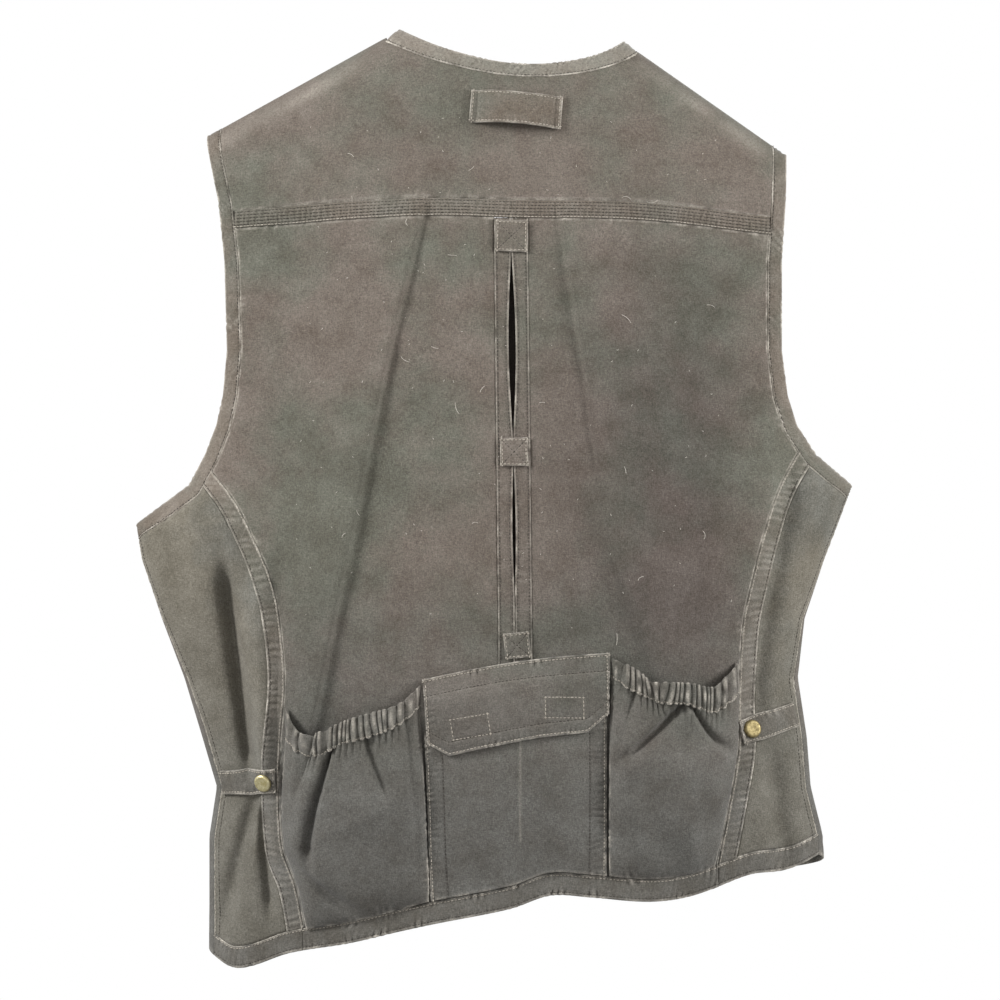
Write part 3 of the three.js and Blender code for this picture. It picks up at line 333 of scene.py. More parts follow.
def sheetSolid(name, points, thick, relief=0.0, wear=0.0, mask=None):
    # A closed cloth piece from a grid of middle points, in millimetres
    rows, columns = points.shape[:2]
    normals = cellNormals(points)
    outSign = 1.0 if np.sum(normals[..., 1] * np.sign(points[..., 1])) > 0 else -1.0
    points = points + normals * outSign * np.asarray(relief)[..., None]
    normals = cellNormals(points) * outSign
    outer = points + normals * thick / 2
    inner = points - normals * thick / 2
    keep = np.ones((rows - 1, columns - 1), bool) if mask is None else mask
    index = np.arange(rows * columns).reshape(rows, columns)
    a, b, c, d = index[:-1, :-1][keep], index[:-1, 1:][keep], index[1:, 1:][keep], index[1:, :-1][keep]
    top = np.stack([a, b, c, d], -1)
    if outSign < 0:
        top = top[:, ::-1]
    low = top[:, ::-1] + rows * columns
    edges = np.concatenate([top[:, [0, 1]], top[:, [1, 2]], top[:, [2, 3]], top[:, [3, 0]]])
    key = edges[:, 0] * rows * columns + edges[:, 1]
    twin = edges[:, 1] * rows * columns + edges[:, 0]
    rim = edges[~np.isin(key, twin)]
    walls = np.stack([rim[:, 1], rim[:, 0], rim[:, 0] + rows * columns, rim[:, 1] + rows * columns], -1)
    faces = np.concatenate([top, low, walls])
    verts = np.concatenate([outer.reshape(-1, 3), inner.reshape(-1, 3)]) / 1000
    wearValues = np.broadcast_to(wear, (rows, columns)).reshape(-1)
    used = np.unique(faces)
    renumber = np.zeros(len(verts), int)
    renumber[used] = np.arange(len(used))
    values = np.concatenate([wearValues, wearValues])[used]
    piece = makeMesh(name, verts[used], renumber[faces], {"wear": values})
    return {"piece": piece, "outer": outer, "normals": normals}


def edgeWork(points, edges, seed, pucker=0.35, lip=0.3, pitch=7.0):
    # Relief and wear beside the stitched borders of a grid: (border, distance of its stitch row)
    acrossLength, downLength = arcs(points, 1), arcs(points, 0)
    relief = np.zeros(points.shape[:2])
    wear = np.zeros(points.shape[:2])
    x, z = points[..., 0], points[..., 2]
    for border, row in edges:
        if border == "left":
            off, run = acrossLength, downLength
        elif border == "right":
            off, run = acrossLength[:, -1:] - acrossLength, downLength
        elif border == "top":
            off, run = downLength, acrossLength
        else:
            off, run = downLength[-1:] - downLength, acrossLength
        uneven = np.clip(0.35 + 0.65 * waves(x, z, 26, seed + 3), 0, 1.3)
        ripple = np.sin(run / pitch * math.tau + 2.6 * waves(x, z, 34, seed + 1)) * uneven
        relief += lip * np.exp(-(off / (row * 0.6))**2) - lip * 0.9 * np.exp(-((off - row) / 1.1)**2)
        relief += 1.3 * pucker * ripple * np.exp(-((off - row) / (row * 0.9 + 3))**2)
        worn = 0.55 + 0.45 * waves(x, z, 14, seed + 2)
        rubbed = 0.85 * np.exp(-(off / 0.9)**2) * worn
        rubbed = rubbed + 0.3 * np.maximum(0, ripple)**2 * np.exp(-(off / (row + 2.5))**2)
        wear += rubbed
    return relief, np.clip(wear, 0, 1.2)


def evenly(count):
    return np.linspace(0, 1, count)


def dress(node, points, thick, edges=(), flat=None, area=None, held="draped", seed=1, relief=0.0, wear=0.0,
          pucker=0.35, lip=0.3, pitch=7.0, **more):
    # Makes the cloth of one node, which rides on the vest and stands for the node
    extra, worn = edgeWork(points, edges, seed, pucker, lip, pitch)
    made = sheetSolid(node + "_cloth", points, thick, extra + relief, worn + wear, **more)
    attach(made["piece"], "root")
    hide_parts(node)
    cloth[node] = made
    return made


# The yoke, its band and the neck facing
neckCorners = [(across * chestHalf, -down * fullLength) for across, down in neckPoints]


def neckLine(place):
    # Height of the back neck by the share from its left corner to its right one
    skewed = np.clip(place, 0, 1)**body["neckSkew"]
    dip = body["neckDip"] * (4 * skewed * (1 - skewed))**body["neckPower"]
    return lerp(neckCorners[0][1], neckCorners[1][1], place) - dip


def armBorder(side, share):
    # The yoke's end beside the armhole band, which rises to the shoulder fold at its top
    x, z = armInner(side, share, body["seam"])
    return x, lerp(z, shoulderLine(x), max(0, 1 - share / 0.02))


def makeYoke():
    shoulder, neck, upRows, frontRows = 56, 72, 60, 34
    reach = body["neckBand"] + body["seam"]
    neckEnds = (neckCorners[0][0] - reach, neckCorners[1][0] + reach)
    inNeck = np.zeros(2 * shoulder + neck, bool)
    inNeck[shoulder:shoulder + neck] = True

    def columns(ends):
        return np.concatenate([
            np.linspace(ends[0], neckEnds[0], shoulder, endpoint=False),
            np.linspace(neckEnds[0], neckEnds[1], neck, endpoint=False),
            np.linspace(neckEnds[1], ends[1], shoulder + 1)])

    place = np.clip((np.arange(2 * shoulder + neck + 1) - shoulder) / neck, 0, 1)
    neckLow = neckLine(place) - reach
    edgeColumn = (place <= 0) | (place >= 1)
    rows = []
    for v in evenly(upRows):
        rise = 1 - (1 - v)**2
        borders = [armBorder(side, lerp(meets[side]["yokeTop"], 0, rise)) for side in (-1, 1)]
        x = columns([border[0] for border in borders])
        crest = np.where(edgeColumn, shoulderLine(x), np.minimum(shoulderLine(x), neckLow))
        z = lerp(yokeTop(x) + body["seam"], crest, rise)
        u = (x - x[0]) / (x[-1] - x[0])
        z = z + (borders[0][1] - z[0]) * np.maximum(0, 1 - u / 0.2)**2
        z = z + (borders[1][1] - z[-1]) * np.maximum(0, 1 - (1 - u) / 0.2)**2
        rows.append(torso(angleAt(x, z), z))
    for v in evenly(frontRows)[1:]:
        drop = v**2
        x = columns([armInner(side, meets[side]["frontYoke"] * drop, body["seam"])[0] for side in (-1, 1)])
        z = shoulderLine(x) - body["frontYoke"] * drop
        rows.append(torso(angleAt(x, z), z, True))
    grid = np.array(rows)[::-1]
    mask = np.ones((grid.shape[0] - 1, grid.shape[1] - 1), bool)
    mask[:frontRows - 1, inNeck] = False
    below = shoulderLine(grid[..., 0]) - grid[..., 2]
    rubbed = np.exp(-((below - 12) / 7)**2) * (0.7 + 0.3 * waves(grid[..., 0], grid[..., 2], 25, 9))
    rubbed = rubbed * np.clip((abs(grid[..., 0]) - 90) / 40, 0, 1)
    dress("back_yoke", grid, body["canvas"], (("bottom", 3.0),), flat=(470, 250), area=0.074, seed=11,
          wear=0.3 * rubbed, pucker=0.12, lip=0.2, mask=mask)


def between(x0, x1, topLine, lowLine, columns, rows, lift=0.0):
    # A strip of the back between two places across and two lines
    x = lerp(x0, x1, evenly(columns))[None, :]
    v = evenly(rows)[:, None]
    z = lerp(topLine(x), lowLine(x), v)
    x = np.broadcast_to(x, z.shape)
    return back(x, z, lift)


def makeYokeBand():
    ends = [armInner(side, meets[side]["yokeLow"], body["seam"])[0] for side in (-1, 1)]
    rows = 22
    grid = between(ends[0], ends[1], yokeTop, yokeLow, 360, rows, 0.35)
    down = arcs(grid, 0)
    along = arcs(grid, 1)
    rowsDown = (1.6, 4.3, 7.0, 9.7, 12.3)
    grooves = sum(np.exp(-((down - level) / 0.75)**2) for level in rowsDown)
    ripple = np.sin(along / 4.6 * math.tau + 1.5 * waves(grid[..., 0], grid[..., 2], 25, 31))
    relief = 0.45 - 0.5 * grooves + 0.42 * ripple * np.exp(-((down - 8) / 7)**2)
    wear = 0.1 * (1 - np.minimum(1, grooves)) * (0.5 + 0.5 * ripple)
    dress("yoke_band", grid, body["banding"], (), flat=(440, 16), seed=12, relief=relief, wear=wear)


def makeNeckBand():
    place = evenly(150)[None, :]
    v = evenly(14)[:, None]
    inside = lerp(neckCorners[0][0], neckCorners[1][0], place)
    outside = lerp(neckCorners[0][0] - body["neckBand"], neckCorners[1][0] + body["neckBand"], place)
    x = lerp(inside, outside, v)
    z = np.minimum(neckLine(place) - body["neckBand"] * v, shoulderLine(x) - 0.3)
    borders = (("top", 2.0), ("bottom", 1.8))
    dress("neck_band", back(x, z, 0.3), body["banding"], borders, flat=(240, 12), seed=13,
          wear=0.22, pucker=0.4, lip=0.35, pitch=5.5)


def makeArmholeBand(side):
    shares = evenly(150)
    lines = []
    for v in evenly(14):
        backPart = []
        for front in (False, True):
            inside = armInner(side, shares, 0.0, max(0.01, body["armBand"] * v))
            if v == 0:
                inside = armEdge(side, shares)
            fold = np.maximum(0, 1 - shares / 0.02)
            z = lerp(inside[:, 1], shoulderLine(inside[:, 0]) - 0.02, fold)
            angle = angleAt(inside[:, 0], z)
            if v == 0:
                angle = np.full_like(angle, math.pi if side < 0 else 0.0)
            backPart.append(torso(angle, z, front))
        lines.append(np.concatenate([backPart[0], backPart[1][::-1][1:]]))
    grid = np.array(lines)
    borders = (("top", 2.2), ("bottom", 1.6))
    dress(f"armhole_band_{sideName[side]}", grid, body["banding"], borders, flat=(820, 13),
          seed=14 + side, pucker=0.4, lip=0.35, pitch=6.5)


makeYoke()
makeYokeBand()
makeNeckBand()
print("yoke made")

# The vent down the middle of the back, with its facings, underlay and tacks
vent = {"top": -0.238, "low": -0.64, "facing": 13.5, "gape": 5.6, "underlayDrop": 5.0}


def ventAt(z):
    fall = np.clip((vent["top"] * fullLength - z) / ((vent["top"] - vent["low"]) * fullLength), 0, 1)
    return lerp(-0.008, 0.003, fall) * chestHalf


def ventHalf(z):
    upper = np.clip((vent["top"] * fullLength - z) / (fullLength * 0.193), 0, 1)
    lower = np.clip((-0.464 * fullLength - z) / (fullLength * 0.13), 0, 1)
    return 0.25 + vent["gape"] / 2 * (np.sin(np.pi * upper) + 0.45 * np.sin(np.pi * lower))


def makeVentFacing(side):
    z = lerp(yokeLow(0.0) - 0.2, hemTop(0.0) + 0.2, evenly(190))[:, None]
    u = evenly(10)[None, :]
    x = ventAt(z) + side * lerp(ventHalf(z), vent["facing"], u)
    z = np.broadcast_to(z, x.shape)
    edges = (("left", 2.2), ("right", 2.0))
    lip = 0.55 * np.exp(-(u * vent["facing"] / 2.5)**2)
    dress(f"vent_facing_{sideName[side]}", back(x, z), body["canvas"], edges, flat=(14, 540), seed=21 + side,
          relief=lip, pucker=0.25)


def makeUnderlay():
    z = lerp(vent["top"] * fullLength + 3, vent["low"] * fullLength, evenly(60))[:, None]
    u = evenly(12)[None, :]
    x = ventAt(z) + lerp(-vent["facing"], vent["facing"], u)
    lift = -(1.6 + 0.8) - vent["underlayDrop"] * np.sin(np.pi * u) + 0 * z
    grid = back(x, np.broadcast_to(z, x.shape), lift)
    dress("vent_underlay", grid, body["canvas"], (), flat=(33, 310), seed=23)


def makeBackPanel(side):
    start, seam = meets[side]["yokeLow"], meets[side]["seam"]
    arm = armInner(side, lerp(start, seam, evenly(84)), body["seam"])[:-1]
    levels = lerp(armInner(side, seam, body["seam"])[1], seamFoot(side, -body["seam"]), evenly(110))
    outer = np.concatenate([arm, np.stack([seamAt(side, levels, -body["seam"]), levels], -1)])
    innerTop, innerLow = yokeLow(side * vent["facing"]), hemTop(side * vent["facing"])
    fall = ((outer[0, 1] - outer[:, 1]) / (outer[0, 1] - outer[-1, 1]))[:, None]
    zIn = lerp(innerTop, innerLow, fall)
    xIn = ventAt(zIn) + side * (vent["facing"] + body["seam"])
    u = evenly(124)[None, :]
    topBow = yokeLow(lerp(xIn[0], outer[0, 0], u)) - lerp(innerTop, outer[0, 1], u)
    lowBow = hemTop(lerp(xIn[-1], outer[-1, 0], u)) - lerp(innerLow, outer[-1, 1], u)
    topBow = topBow - topBow[:, -1:] * u
    lowBow = lowBow - lowBow[:, -1:] * u
    z = lerp(zIn, outer[:, 1:2], u) + lerp(topBow, lowBow, fall)
    x = lerp(xIn, outer[:, :1], u)
    edges = (("right", 2.5), ("top", 2.0))
    dress(f"back_panel_{sideName[side]}", back(x, z), body["canvas"], edges, flat=(235, 580), area=0.106,
          seed=25 + side, pucker=0.22)


# Square tacks: share across, share down, turn and size in mm
tackRows = {
    "top": (-0.007, 0.2195, 0.03, 25.2),
    "middle": (0.0, 0.4485, -0.02, 22.1),
    "bottom": (0.008, 0.6525, -0.1, 20.2),
}


def turned(across, down, turn, u, v, length, width):
    a, b = (u - 0.5) * length, (0.5 - v) * width
    x = across * chestHalf + a * math.cos(turn) + b * math.sin(turn)
    z = -down * fullLength + b * math.cos(turn) - a * math.sin(turn)
    return x, z


def makeTack(name):
    across, down, turn, size = tackRows[name]
    u, v = evenly(22)[None, :], evenly(22)[:, None]
    x, z = turned(across, down, turn, u, v, size, size)
    a, b = (u - 0.5) * size, (v - 0.5) * size
    cross = np.exp(-((a - b) / 1.1)**2) + np.exp(-((a + b) / 1.1)**2)
    relief = 0.5 * (1 - np.maximum(abs(u - 0.5), abs(v - 0.5)) * 1.2) - 0.55 * cross
    borders = tuple((border, 1.8) for border in ("left", "right", "top", "bottom"))
    dress(f"cross_tack_{name}", back(x, z, 2.1), 1.0, borders, flat=(size + 1, size + 1), held="laid",
          seed=41, relief=relief, wear=0.12 * cross, pucker=0.12, lip=0.25, pitch=4)


loop = {"across": 0.0055, "down": 0.0832, "turn": 0.077, "length": 73.0, "width": 26.0, "bulge": 8.0}


def makeLoop():
    u, v = evenly(76)[None, :], evenly(28)[:, None]
    x, z = turned(loop["across"], loop["down"], loop["turn"], u, v, loop["length"], loop["width"])
    lift = 2.4 + loop["bulge"] * np.sin(np.pi * np.clip((u - 0.08) / 0.84, 0, 1))**0.6 * (0.85 + 0.15 * v)
    borders = tuple((border, 1.8) for border in ("left", "right", "top", "bottom"))
    dress("back_loop", back(x, z, lift), 1.5, borders, flat=(82, 28), held="stretched", seed=43,
          pucker=0.18, lip=0.35)


makeUnderlay()
for side in (-1, 1):
    makeVentFacing(side)
    makeBackPanel(side)
    makeArmholeBand(side)
for name in tackRows:
    makeTack(name)
makeLoop()
print("back made")

# Side panels, felled seams and hems
sideTurn = 0.2
sidePanelArea = {-1: 0.0265, 1: 0.0165}


def sideSeam(side, z):
    start = armInner(side, 1.0)[1]
    turn = sideTurn * np.clip((start - z) / (fullLength * 0.2), 0, 1)
    return math.pi - turn if side < 0 else turn


def seamRun(side, out, count, start):
    z = lerp(start, seamFoot(side, out), evenly(count))
    return seamAt(side, z, out), z


def makeSeamBand(side):
    count = 260
    startIn = armInner(side, meets[side]["seam"], body["seam"])[1]
    startOut = armInner(side, meets[side]["band"], body["seam"])[1]
    xIn, zIn = seamRun(side, body["seam"], count, startIn)
    xOut, zOut = seamRun(side, body["seamBand"] - body["seam"], count, startOut)
    u = evenly(14)[None, :]
    x, z = lerp(xIn[:, None], xOut[:, None], u), lerp(zIn[:, None], zOut[:, None], u)
    grid = back(x, np.maximum(z, hemTop(x)), 0.3)
    uneven = np.clip(0.6 + 0.5 * waves(x, z, 24, 49), 0, 1.4)
    ripple = np.sin(z / 5.6 * math.tau + 1.9 * waves(x, z, 40, 51)) * uneven
    relief = 0.6 * ripple * np.sin(np.pi * np.clip(u, 0.02, 1)) * (0.7 + 0.3 * waves(x, z, 22, 50))
    borders = (("left", 2.0), ("right", 2.2))
    wear = 0.34 * np.maximum(0, ripple) * (0.4 + 0.6 * u)
    dress(f"seam_band_{sideName[side]}", grid, body["banding"], borders, flat=(15.5, 400),
          seed=52 + side, relief=relief, wear=wear, pucker=0.1, lip=0.4)


def makeSidePanel(side):
    rows, columns = 130, 60
    band = meets[side]["band"]
    topPoints = armInner(side, lerp(band, 1.0, evenly(columns)), body["seam"])
    topAngle = angleAt(topPoints[:, 0], topPoints[:, 1])
    xIn, zIn = seamRun(side, body["seamBand"] + body["seam"], rows, topPoints[0, 1])
    zIn = np.maximum(zIn, hemTop(xIn))
    foot = hemTop(side * halfWidth(side, -fullLength * 0.95) * math.cos(sideTurn))
    zOut = lerp(topPoints[-1, 1], foot, evenly(rows))
    innerAngle, outerAngle = angleAt(xIn, zIn), sideSeam(side, zOut)
    lowAngle = lerp(innerAngle[-1], outerAngle[-1], evenly(columns))
    lowZ = hemTop(torso(lowAngle, np.full(columns, float(foot)))[:, 0])
    u, v = evenly(columns)[None, :], evenly(rows)[:, None]

    def coons(top, low, left, right):
        blend = (1 - v) * top[None, :] + v * low[None, :] + (1 - u) * left[:, None] + u * right[:, None]
        blend = blend - (1 - u) * (1 - v) * top[0] - u * (1 - v) * top[-1]
        return blend - (1 - u) * v * low[0] - u * v * low[-1]

    angle = coons(topAngle, lowAngle, innerAngle, outerAngle)
    z = coons(topPoints[:, 1], lowZ, zIn, zOut)
    dress(f"side_panel_{sideName[side]}", torso(angle, z), body["canvas"], (("right", 3.0),),
          flat=(105, 340), area=sidePanelArea[side], seed=55 + side, pucker=0.3)


def makeHems():
    ends = [seamAt(side, seamFoot(side)) for side in (-1, 1)]
    strip = between(ends[0], ends[1], hemTop, hemEdge, 300, 16, 0.25)
    borders = (("top", 2.0), ("bottom", 2.2))
    dress("hem_back", strip, body["banding"], borders, flat=(350, 19), seed=61,
          pucker=0.6, lip=0.35, pitch=5.6)
    for side in (-1, 1):
        start = seamAt(side, seamFoot(side)) + side * body["seam"]
        lines = []
        for v in evenly(16):
            level = lerp(hemTop(start), hemEdge(start), v)
            angle = lerp(angleAt(start, level), sideSeam(side, level), evenly(70))
            x = torso(angle, np.full(70, float(level)))[:, 0]
            lines.append(torso(angle, lerp(hemTop(x), hemEdge(x), v)))
        dress(f"hem_side_{sideName[side]}", np.array(lines), body["banding"], borders, flat=(95, 19),
              seed=62 + side, pucker=0.55, lip=0.35, pitch=5.6)


# The plain fronts, with an open V neck and a closed placket
neckFoot, frontFoot = -0.25 * fullLength, -0.93 * fullLength


def frontAngle(side, x, z):
    return 2 * math.pi - angleAt(x, z) if side < 0 else -angleAt(x, z)


def makeFront(side):
    arm = armInner(side, lerp(meets[side]["frontYoke"], 1.0, evenly(60)), body["seam"])[:-1]
    turnZ = armInner(side, 1.0, body["seam"])[1]
    foot = hemTop(side * halfWidth(side, -fullLength * 0.95) * math.cos(sideTurn)) - body["hem"]
    levels = lerp(turnZ, foot, evenly(70))
    angles = np.concatenate([frontAngle(side, arm[:, 0], arm[:, 1]), sideSeam(side, levels)])
    zOut = np.concatenate([arm[:, 1], levels])[:, None]
    corner = neckCorners[0 if side < 0 else 1][0] + side * body["neckBand"]
    innerTop = shoulderLine(corner) - body["frontYoke"]
    fall = (zOut[0] - zOut) / (zOut[0] - foot)
    zIn = lerp(innerTop, frontFoot, fall)
    opened = np.clip((innerTop - zIn) / (innerTop - neckFoot), 0, 1)
    inner = frontAngle(side, side * lerp(abs(corner), body["placket"] / 2, opened**body["veePower"]), zIn)
    u = evenly(56)[None, :]
    level = lerp(innerTop, zOut[0], u)
    x = torso(lerp(inner[0], angles[0], u), level, True)[..., 0]
    bow = shoulderLine(x) - body["frontYoke"] - level
    bow = bow - bow[:, -1:] * u
    z = lerp(zIn, zOut, u) + bow * (1 - fall)
    angle = lerp(inner, angles[:, None], u)
    front = np.where(side < 0, angle > math.pi, angle < 0)
    borders = (("left", 6.0), ("bottom", 12.0))
    dress(f"front_panel_{sideName[side]}", torso(angle, z, front), body["canvas"], borders,
          flat=(330, 680), area=0.146, seed=71 + side, pucker=0.35, pitch=9)


def makePlacket():
    z = lerp(neckFoot, frontFoot, evenly(130))[:, None]
    x = lerp(-body["placket"] / 2, body["placket"] / 2, evenly(20))[None, :]
    angle = np.where(x < 0, frontAngle(-1, x, z), frontAngle(1, x, z))
    grid = torso(angle, np.broadcast_to(z, angle.shape), True)
    borders = (("left", 4.0), ("right", 4.0))
    dress("front_placket", grid, body["banding"], borders, flat=(40, 515), seed=74, pitch=8)


for side in (-1, 1):
    makeSeamBand(side)
    makeSidePanel(side)
    makeFront(side)
makeHems()
makePlacket()
print("sides, fronts and hems made")

# The middle pocket and its flap
center = {"left": -0.246, "leftFoot": -0.226, "right": 0.251, "mouth": 0.722, "bulge": 5.0, "rest": 2.35}
flapTop = np.array([(-0.251, 0.689), (-0.083, 0.6755), (0.094, 0.6655), (0.259, 0.6608)])
flapLow = np.array([(-0.234, 0.7735), (0.0, 0.754), (0.2565, 0.7413)])


def centerLift(x, z):
    place = (x / chestHalf - center["left"]) / (center["right"] - center["left"])
    down = -z / fullLength
    rise, fall = np.clip((down - 0.665) / 0.05, 0, 1), np.clip((0.9 - down) / 0.12, 0, 1)
    arch = np.sin(np.pi * np.clip(lerp(0.02, 0.98, place), 0, 1))**0.5
    return center["bulge"] * arch * np.sin(rise * np.pi / 2) * np.sin(fall * np.pi / 2)


def makeCenterPocket():
    u, v = evenly(100)[None, :], evenly(100)[:, None]
    left = lerp(center["left"], center["leftFoot"], v) * chestHalf
    x = lerp(left, center["right"] * chestHalf, u)
    z = lerp(-center["mouth"] * fullLength, hemTop(x) + 0.8, v)
    inset = np.minimum(x - left, center["right"] * chestHalf - x)
    relief = -0.5 * np.exp(-((inset - 13.5) / 1.1)**2) + 0.25 * np.exp(-((inset - 7) / 5)**2)
    uneven = np.clip(0.5 + 0.6 * waves(x, z, 24, 84), 0, 1.3)
    ripple = np.sin(z / 5.2 * math.tau + 1.8 * waves(x, z, 30, 82)) * uneven
    relief = relief + 0.5 * ripple * np.exp(-((inset - 7) / 5.5)**2)
    seamLine = np.exp(-((x - 5) / 0.9)**2) * (z > -0.86 * fullLength)
    borders = (("left", 2.0), ("right", 2.0), ("bottom", 2.5))
    grid = back(x, z, center["rest"] + centerLift(x, z))
    dress("center_pocket", grid, body["canvas"], borders, flat=(147, 152), seed=81,
          relief=relief, wear=0.28 * seamLine, pucker=0.5, pitch=5.4)


# Hook and loop patches behind the flap: share across, share down and turn
flapBoxes = ((-0.118, 0.7375, -0.17), (0.137, 0.7178, 0.0))


def makeFlap():
    u, v = evenly(130)[None, :], evenly(56)[:, None]
    across = lerp(lerp(-0.251, -0.234, v), lerp(0.259, 0.2565, v), u)
    x = across * chestHalf
    inset = np.minimum(x + 0.234 * chestHalf, 0.2565 * chestHalf - x)
    cut = np.maximum(0, 17 - np.maximum(0, inset)) * 0.75
    low = -smooth(flapLow, across) * fullLength + cut
    z = lerp(-smooth(flapTop, across) * fullLength, low, v)
    lift = 2.45 + (centerLift(x, z) + 2.3) * np.minimum(1, v * 3)
    down = arcs(back(x, z), 0)
    up = down[-1:] - down
    rows = np.exp(-((down - 14) / 1.0)**2) + np.exp(-((up - 11) / 1.0)**2)
    boxes = np.zeros_like(x)
    for boxAcross, boxDown, turn in flapBoxes:
        a = (x - boxAcross * chestHalf) * math.cos(turn) - (z + boxDown * fullLength) * math.sin(turn)
        b = (x - boxAcross * chestHalf) * math.sin(turn) + (z + boxDown * fullLength) * math.cos(turn)
        rim = np.maximum(abs(a) / 15.0, abs(b) / 8.0)
        boxes += np.exp(-((rim - 1) / 0.07)**2) - 0.6 * (rim < 1)
    borders = tuple((border, 2.2) for border in ("left", "right", "top", "bottom"))
    dress("pocket_flap", back(x, z, lift), 1.8, borders, flat=(150, 72), seed=83,
          relief=-0.45 * rows - 0.4 * boxes, wear=0.15 * rows + 0.3 * np.maximum(0, boxes),
          pucker=0.55, lip=0.45, pitch=4.8)


makeCenterPocket()
makeFlap()

# The elastic pockets: share across, share down of the cuff's top and of its foot
mouths = {
    -1: np.array([
        (-0.622, 0.72, 0.752), (-0.577, 0.742, 0.7637), (-0.521, 0.7435, 0.767), (-0.466, 0.735, 0.757),
        (-0.394, 0.7253, 0.749), (-0.309, 0.7125, 0.7328), (-0.258, 0.695, 0.717)]),
    1: np.array([
        (0.266, 0.6667, 0.686), (0.312, 0.675, 0.6987), (0.372, 0.686, 0.7083), (0.458, 0.691, 0.713),
        (0.535, 0.6975, 0.7221), (0.574, 0.684, 0.7147), (0.611, 0.671, 0.702)]),
}
pocket = {"bulge": 17.0, "rest": 2.75, "gathers": 22, "gather": 2.9}
# Folds of each pocket: from and to as shares of its width and height, width in mm, height in mm
pocketFolds = {
    -1: (
        (0.36, 0.0, 0.2, 0.55, 2.8, -8.0), (0.3, 0.0, 0.1, 0.5, 5.0, 2.0),
        (0.62, 0.0, 0.72, 0.28, 2.4, -5.0), (0.0, 0.62, 0.4, 0.95, 3.2, -6.0),
        (0.9, 0.0, 0.95, 0.8, 2.6, -5.0), (0.35, 0.5, 0.9, 0.38, 5.0, 0.9)),
    1: (
        (0.55, 0.0, 0.12, 0.36, 2.8, -8.0), (0.6, 0.0, 0.93, 0.3, 2.6, -6.5),
        (0.16, 0.0, 0.04, 0.4, 2.4, -4.5), (0.5, 0.25, 0.55, 0.8, 8.0, -1.0),
        (0.1, 0.5, 0.12, 0.9, 4.0, -1.2)),
}


def mouthLift(u):
    return pocket["bulge"] * 0.8 * np.sin(np.pi * np.clip(u, 0, 1))**0.6


def pocketSides(side, z):
    inner = lerp(-0.254, -0.232, np.clip((-z / fullLength - 0.71) / 0.2, 0, 1)) if side < 0 else 0.26 + 0 * z
    outer = seamAt(side, z, -3)
    return (outer, inner * chestHalf) if side < 0 else (inner * chestHalf, outer)


def makeElasticPocket(side):
    rows = mouths[side]
    ends = rows[0, 0] * chestHalf, rows[-1, 0] * chestHalf
    u, v = evenly(84)[None, :], evenly(96)[:, None]
    xTop = lerp(ends[0], ends[1], u)
    zTop = -smooth(rows, xTop / chestHalf, 2) * fullLength
    foot = pocketSides(side, -fullLength * 0.9)
    z = lerp(zTop, hemTop(lerp(foot[0], foot[1], u)) + 0.8, v)
    sides = pocketSides(side, z)
    x = lerp(lerp(sides[0], sides[1], u), xTop, (1 - v)**4)
    full = pocket["bulge"] * (1 - np.abs(2 * u - 1)**4)**0.7 * (1 - v**4)**0.8
    lift = pocket["rest"] + lerp(mouthLift(u) + 0 * v, full, np.minimum(1, v * 3))
    width, height = 110.0, 150.0
    crumple = np.zeros_like(lift)
    for u0, v0, u1, v1, half, tall in pocketFolds[side]:
        run = np.array([(u1 - u0) * width, (v1 - v0) * height])
        length = np.hypot(*run)
        a, b = (u - u0) * width, (v - v0) * height
        place = (a * run[0] + b * run[1]) / length**2
        off = (a * run[1] - b * run[0]) / length
        past = np.maximum(0, np.maximum(-place, place - 1)) * length
        crumple += tall * np.exp(-(off / (half * (1 + 0.6 * np.clip(place, 0, 1))))**2 - (past / 16)**2)
    gather = 1.3 * np.sin(math.tau * pocket["gathers"] * u + 1.5 * np.sin(9 * u))
    gather = gather * np.exp(-(v * height / 13)**2)
    crumple += gather + waves(x, z, 45, 91 + side) * 0.8
    hold = np.minimum(1, 5 * np.minimum(u, 1 - u)) * np.minimum(1, 8 * (1 - v))
    borders = (("left", 2.5), ("right", 2.5), ("bottom", 2.5))
    grid = back(x, z, np.maximum(pocket["rest"], lift + crumple * hold))
    dress(f"elastic_pocket_{sideName[side]}", grid, body["canvas"], borders, flat=(130, 150),
          held="gathered", seed=92 + side, pucker=0.3, pitch=7)


def makeCuff(side):
    rows = mouths[side]
    ends = rows[0, 0] * chestHalf, rows[-1, 0] * chestHalf
    u, v = evenly(360)[None, :], evenly(14)[:, None]
    x = lerp(ends[0], ends[1], u) + 0 * v
    zTop, zLow = -smooth(rows, x / chestHalf, 1) * fullLength, -smooth(rows, x / chestHalf, 2) * fullLength
    z = lerp(zTop, zLow - 0.5, v)
    uneven = 2.4 * np.sin(9 * u + 1) + 1.6 * np.sin(23 * u + 2) + 0.9 * np.sin(51 * u)
    phase = math.tau * pocket["gathers"] * u + uneven + 1.3 * (v - 0.5) * np.sin(17 * u)
    ridge = (0.5 + 0.5 * np.sin(phase))**0.65
    wave = pocket["gather"] * (ridge - 0.35) * (0.75 + 0.25 * waves(x, z, 11, 95))
    roll = 1.5 * np.sin(np.pi * v)
    hold = np.minimum(1, 12 * np.minimum(u, 1 - u))
    lift = pocket["rest"] + mouthLift(u) + (wave + roll) * hold
    z = z + 0.7 * np.sin(phase) * (1 - 2 * v) * hold
    wear = 0.7 * np.maximum(0, ridge - 0.75) / 0.25 * (0.5 + 0.5 * waves(x, z, 9, 96))
    grid = back(x, z, np.maximum(pocket["rest"], lift))
    dress(f"elastic_cuff_{sideName[side]}", grid, 1.5, (("bottom", 1.6),), flat=(215, 17),
          held="gathered", seed=97 + side, wear=np.clip(wear, 0, 1), pucker=0.0)


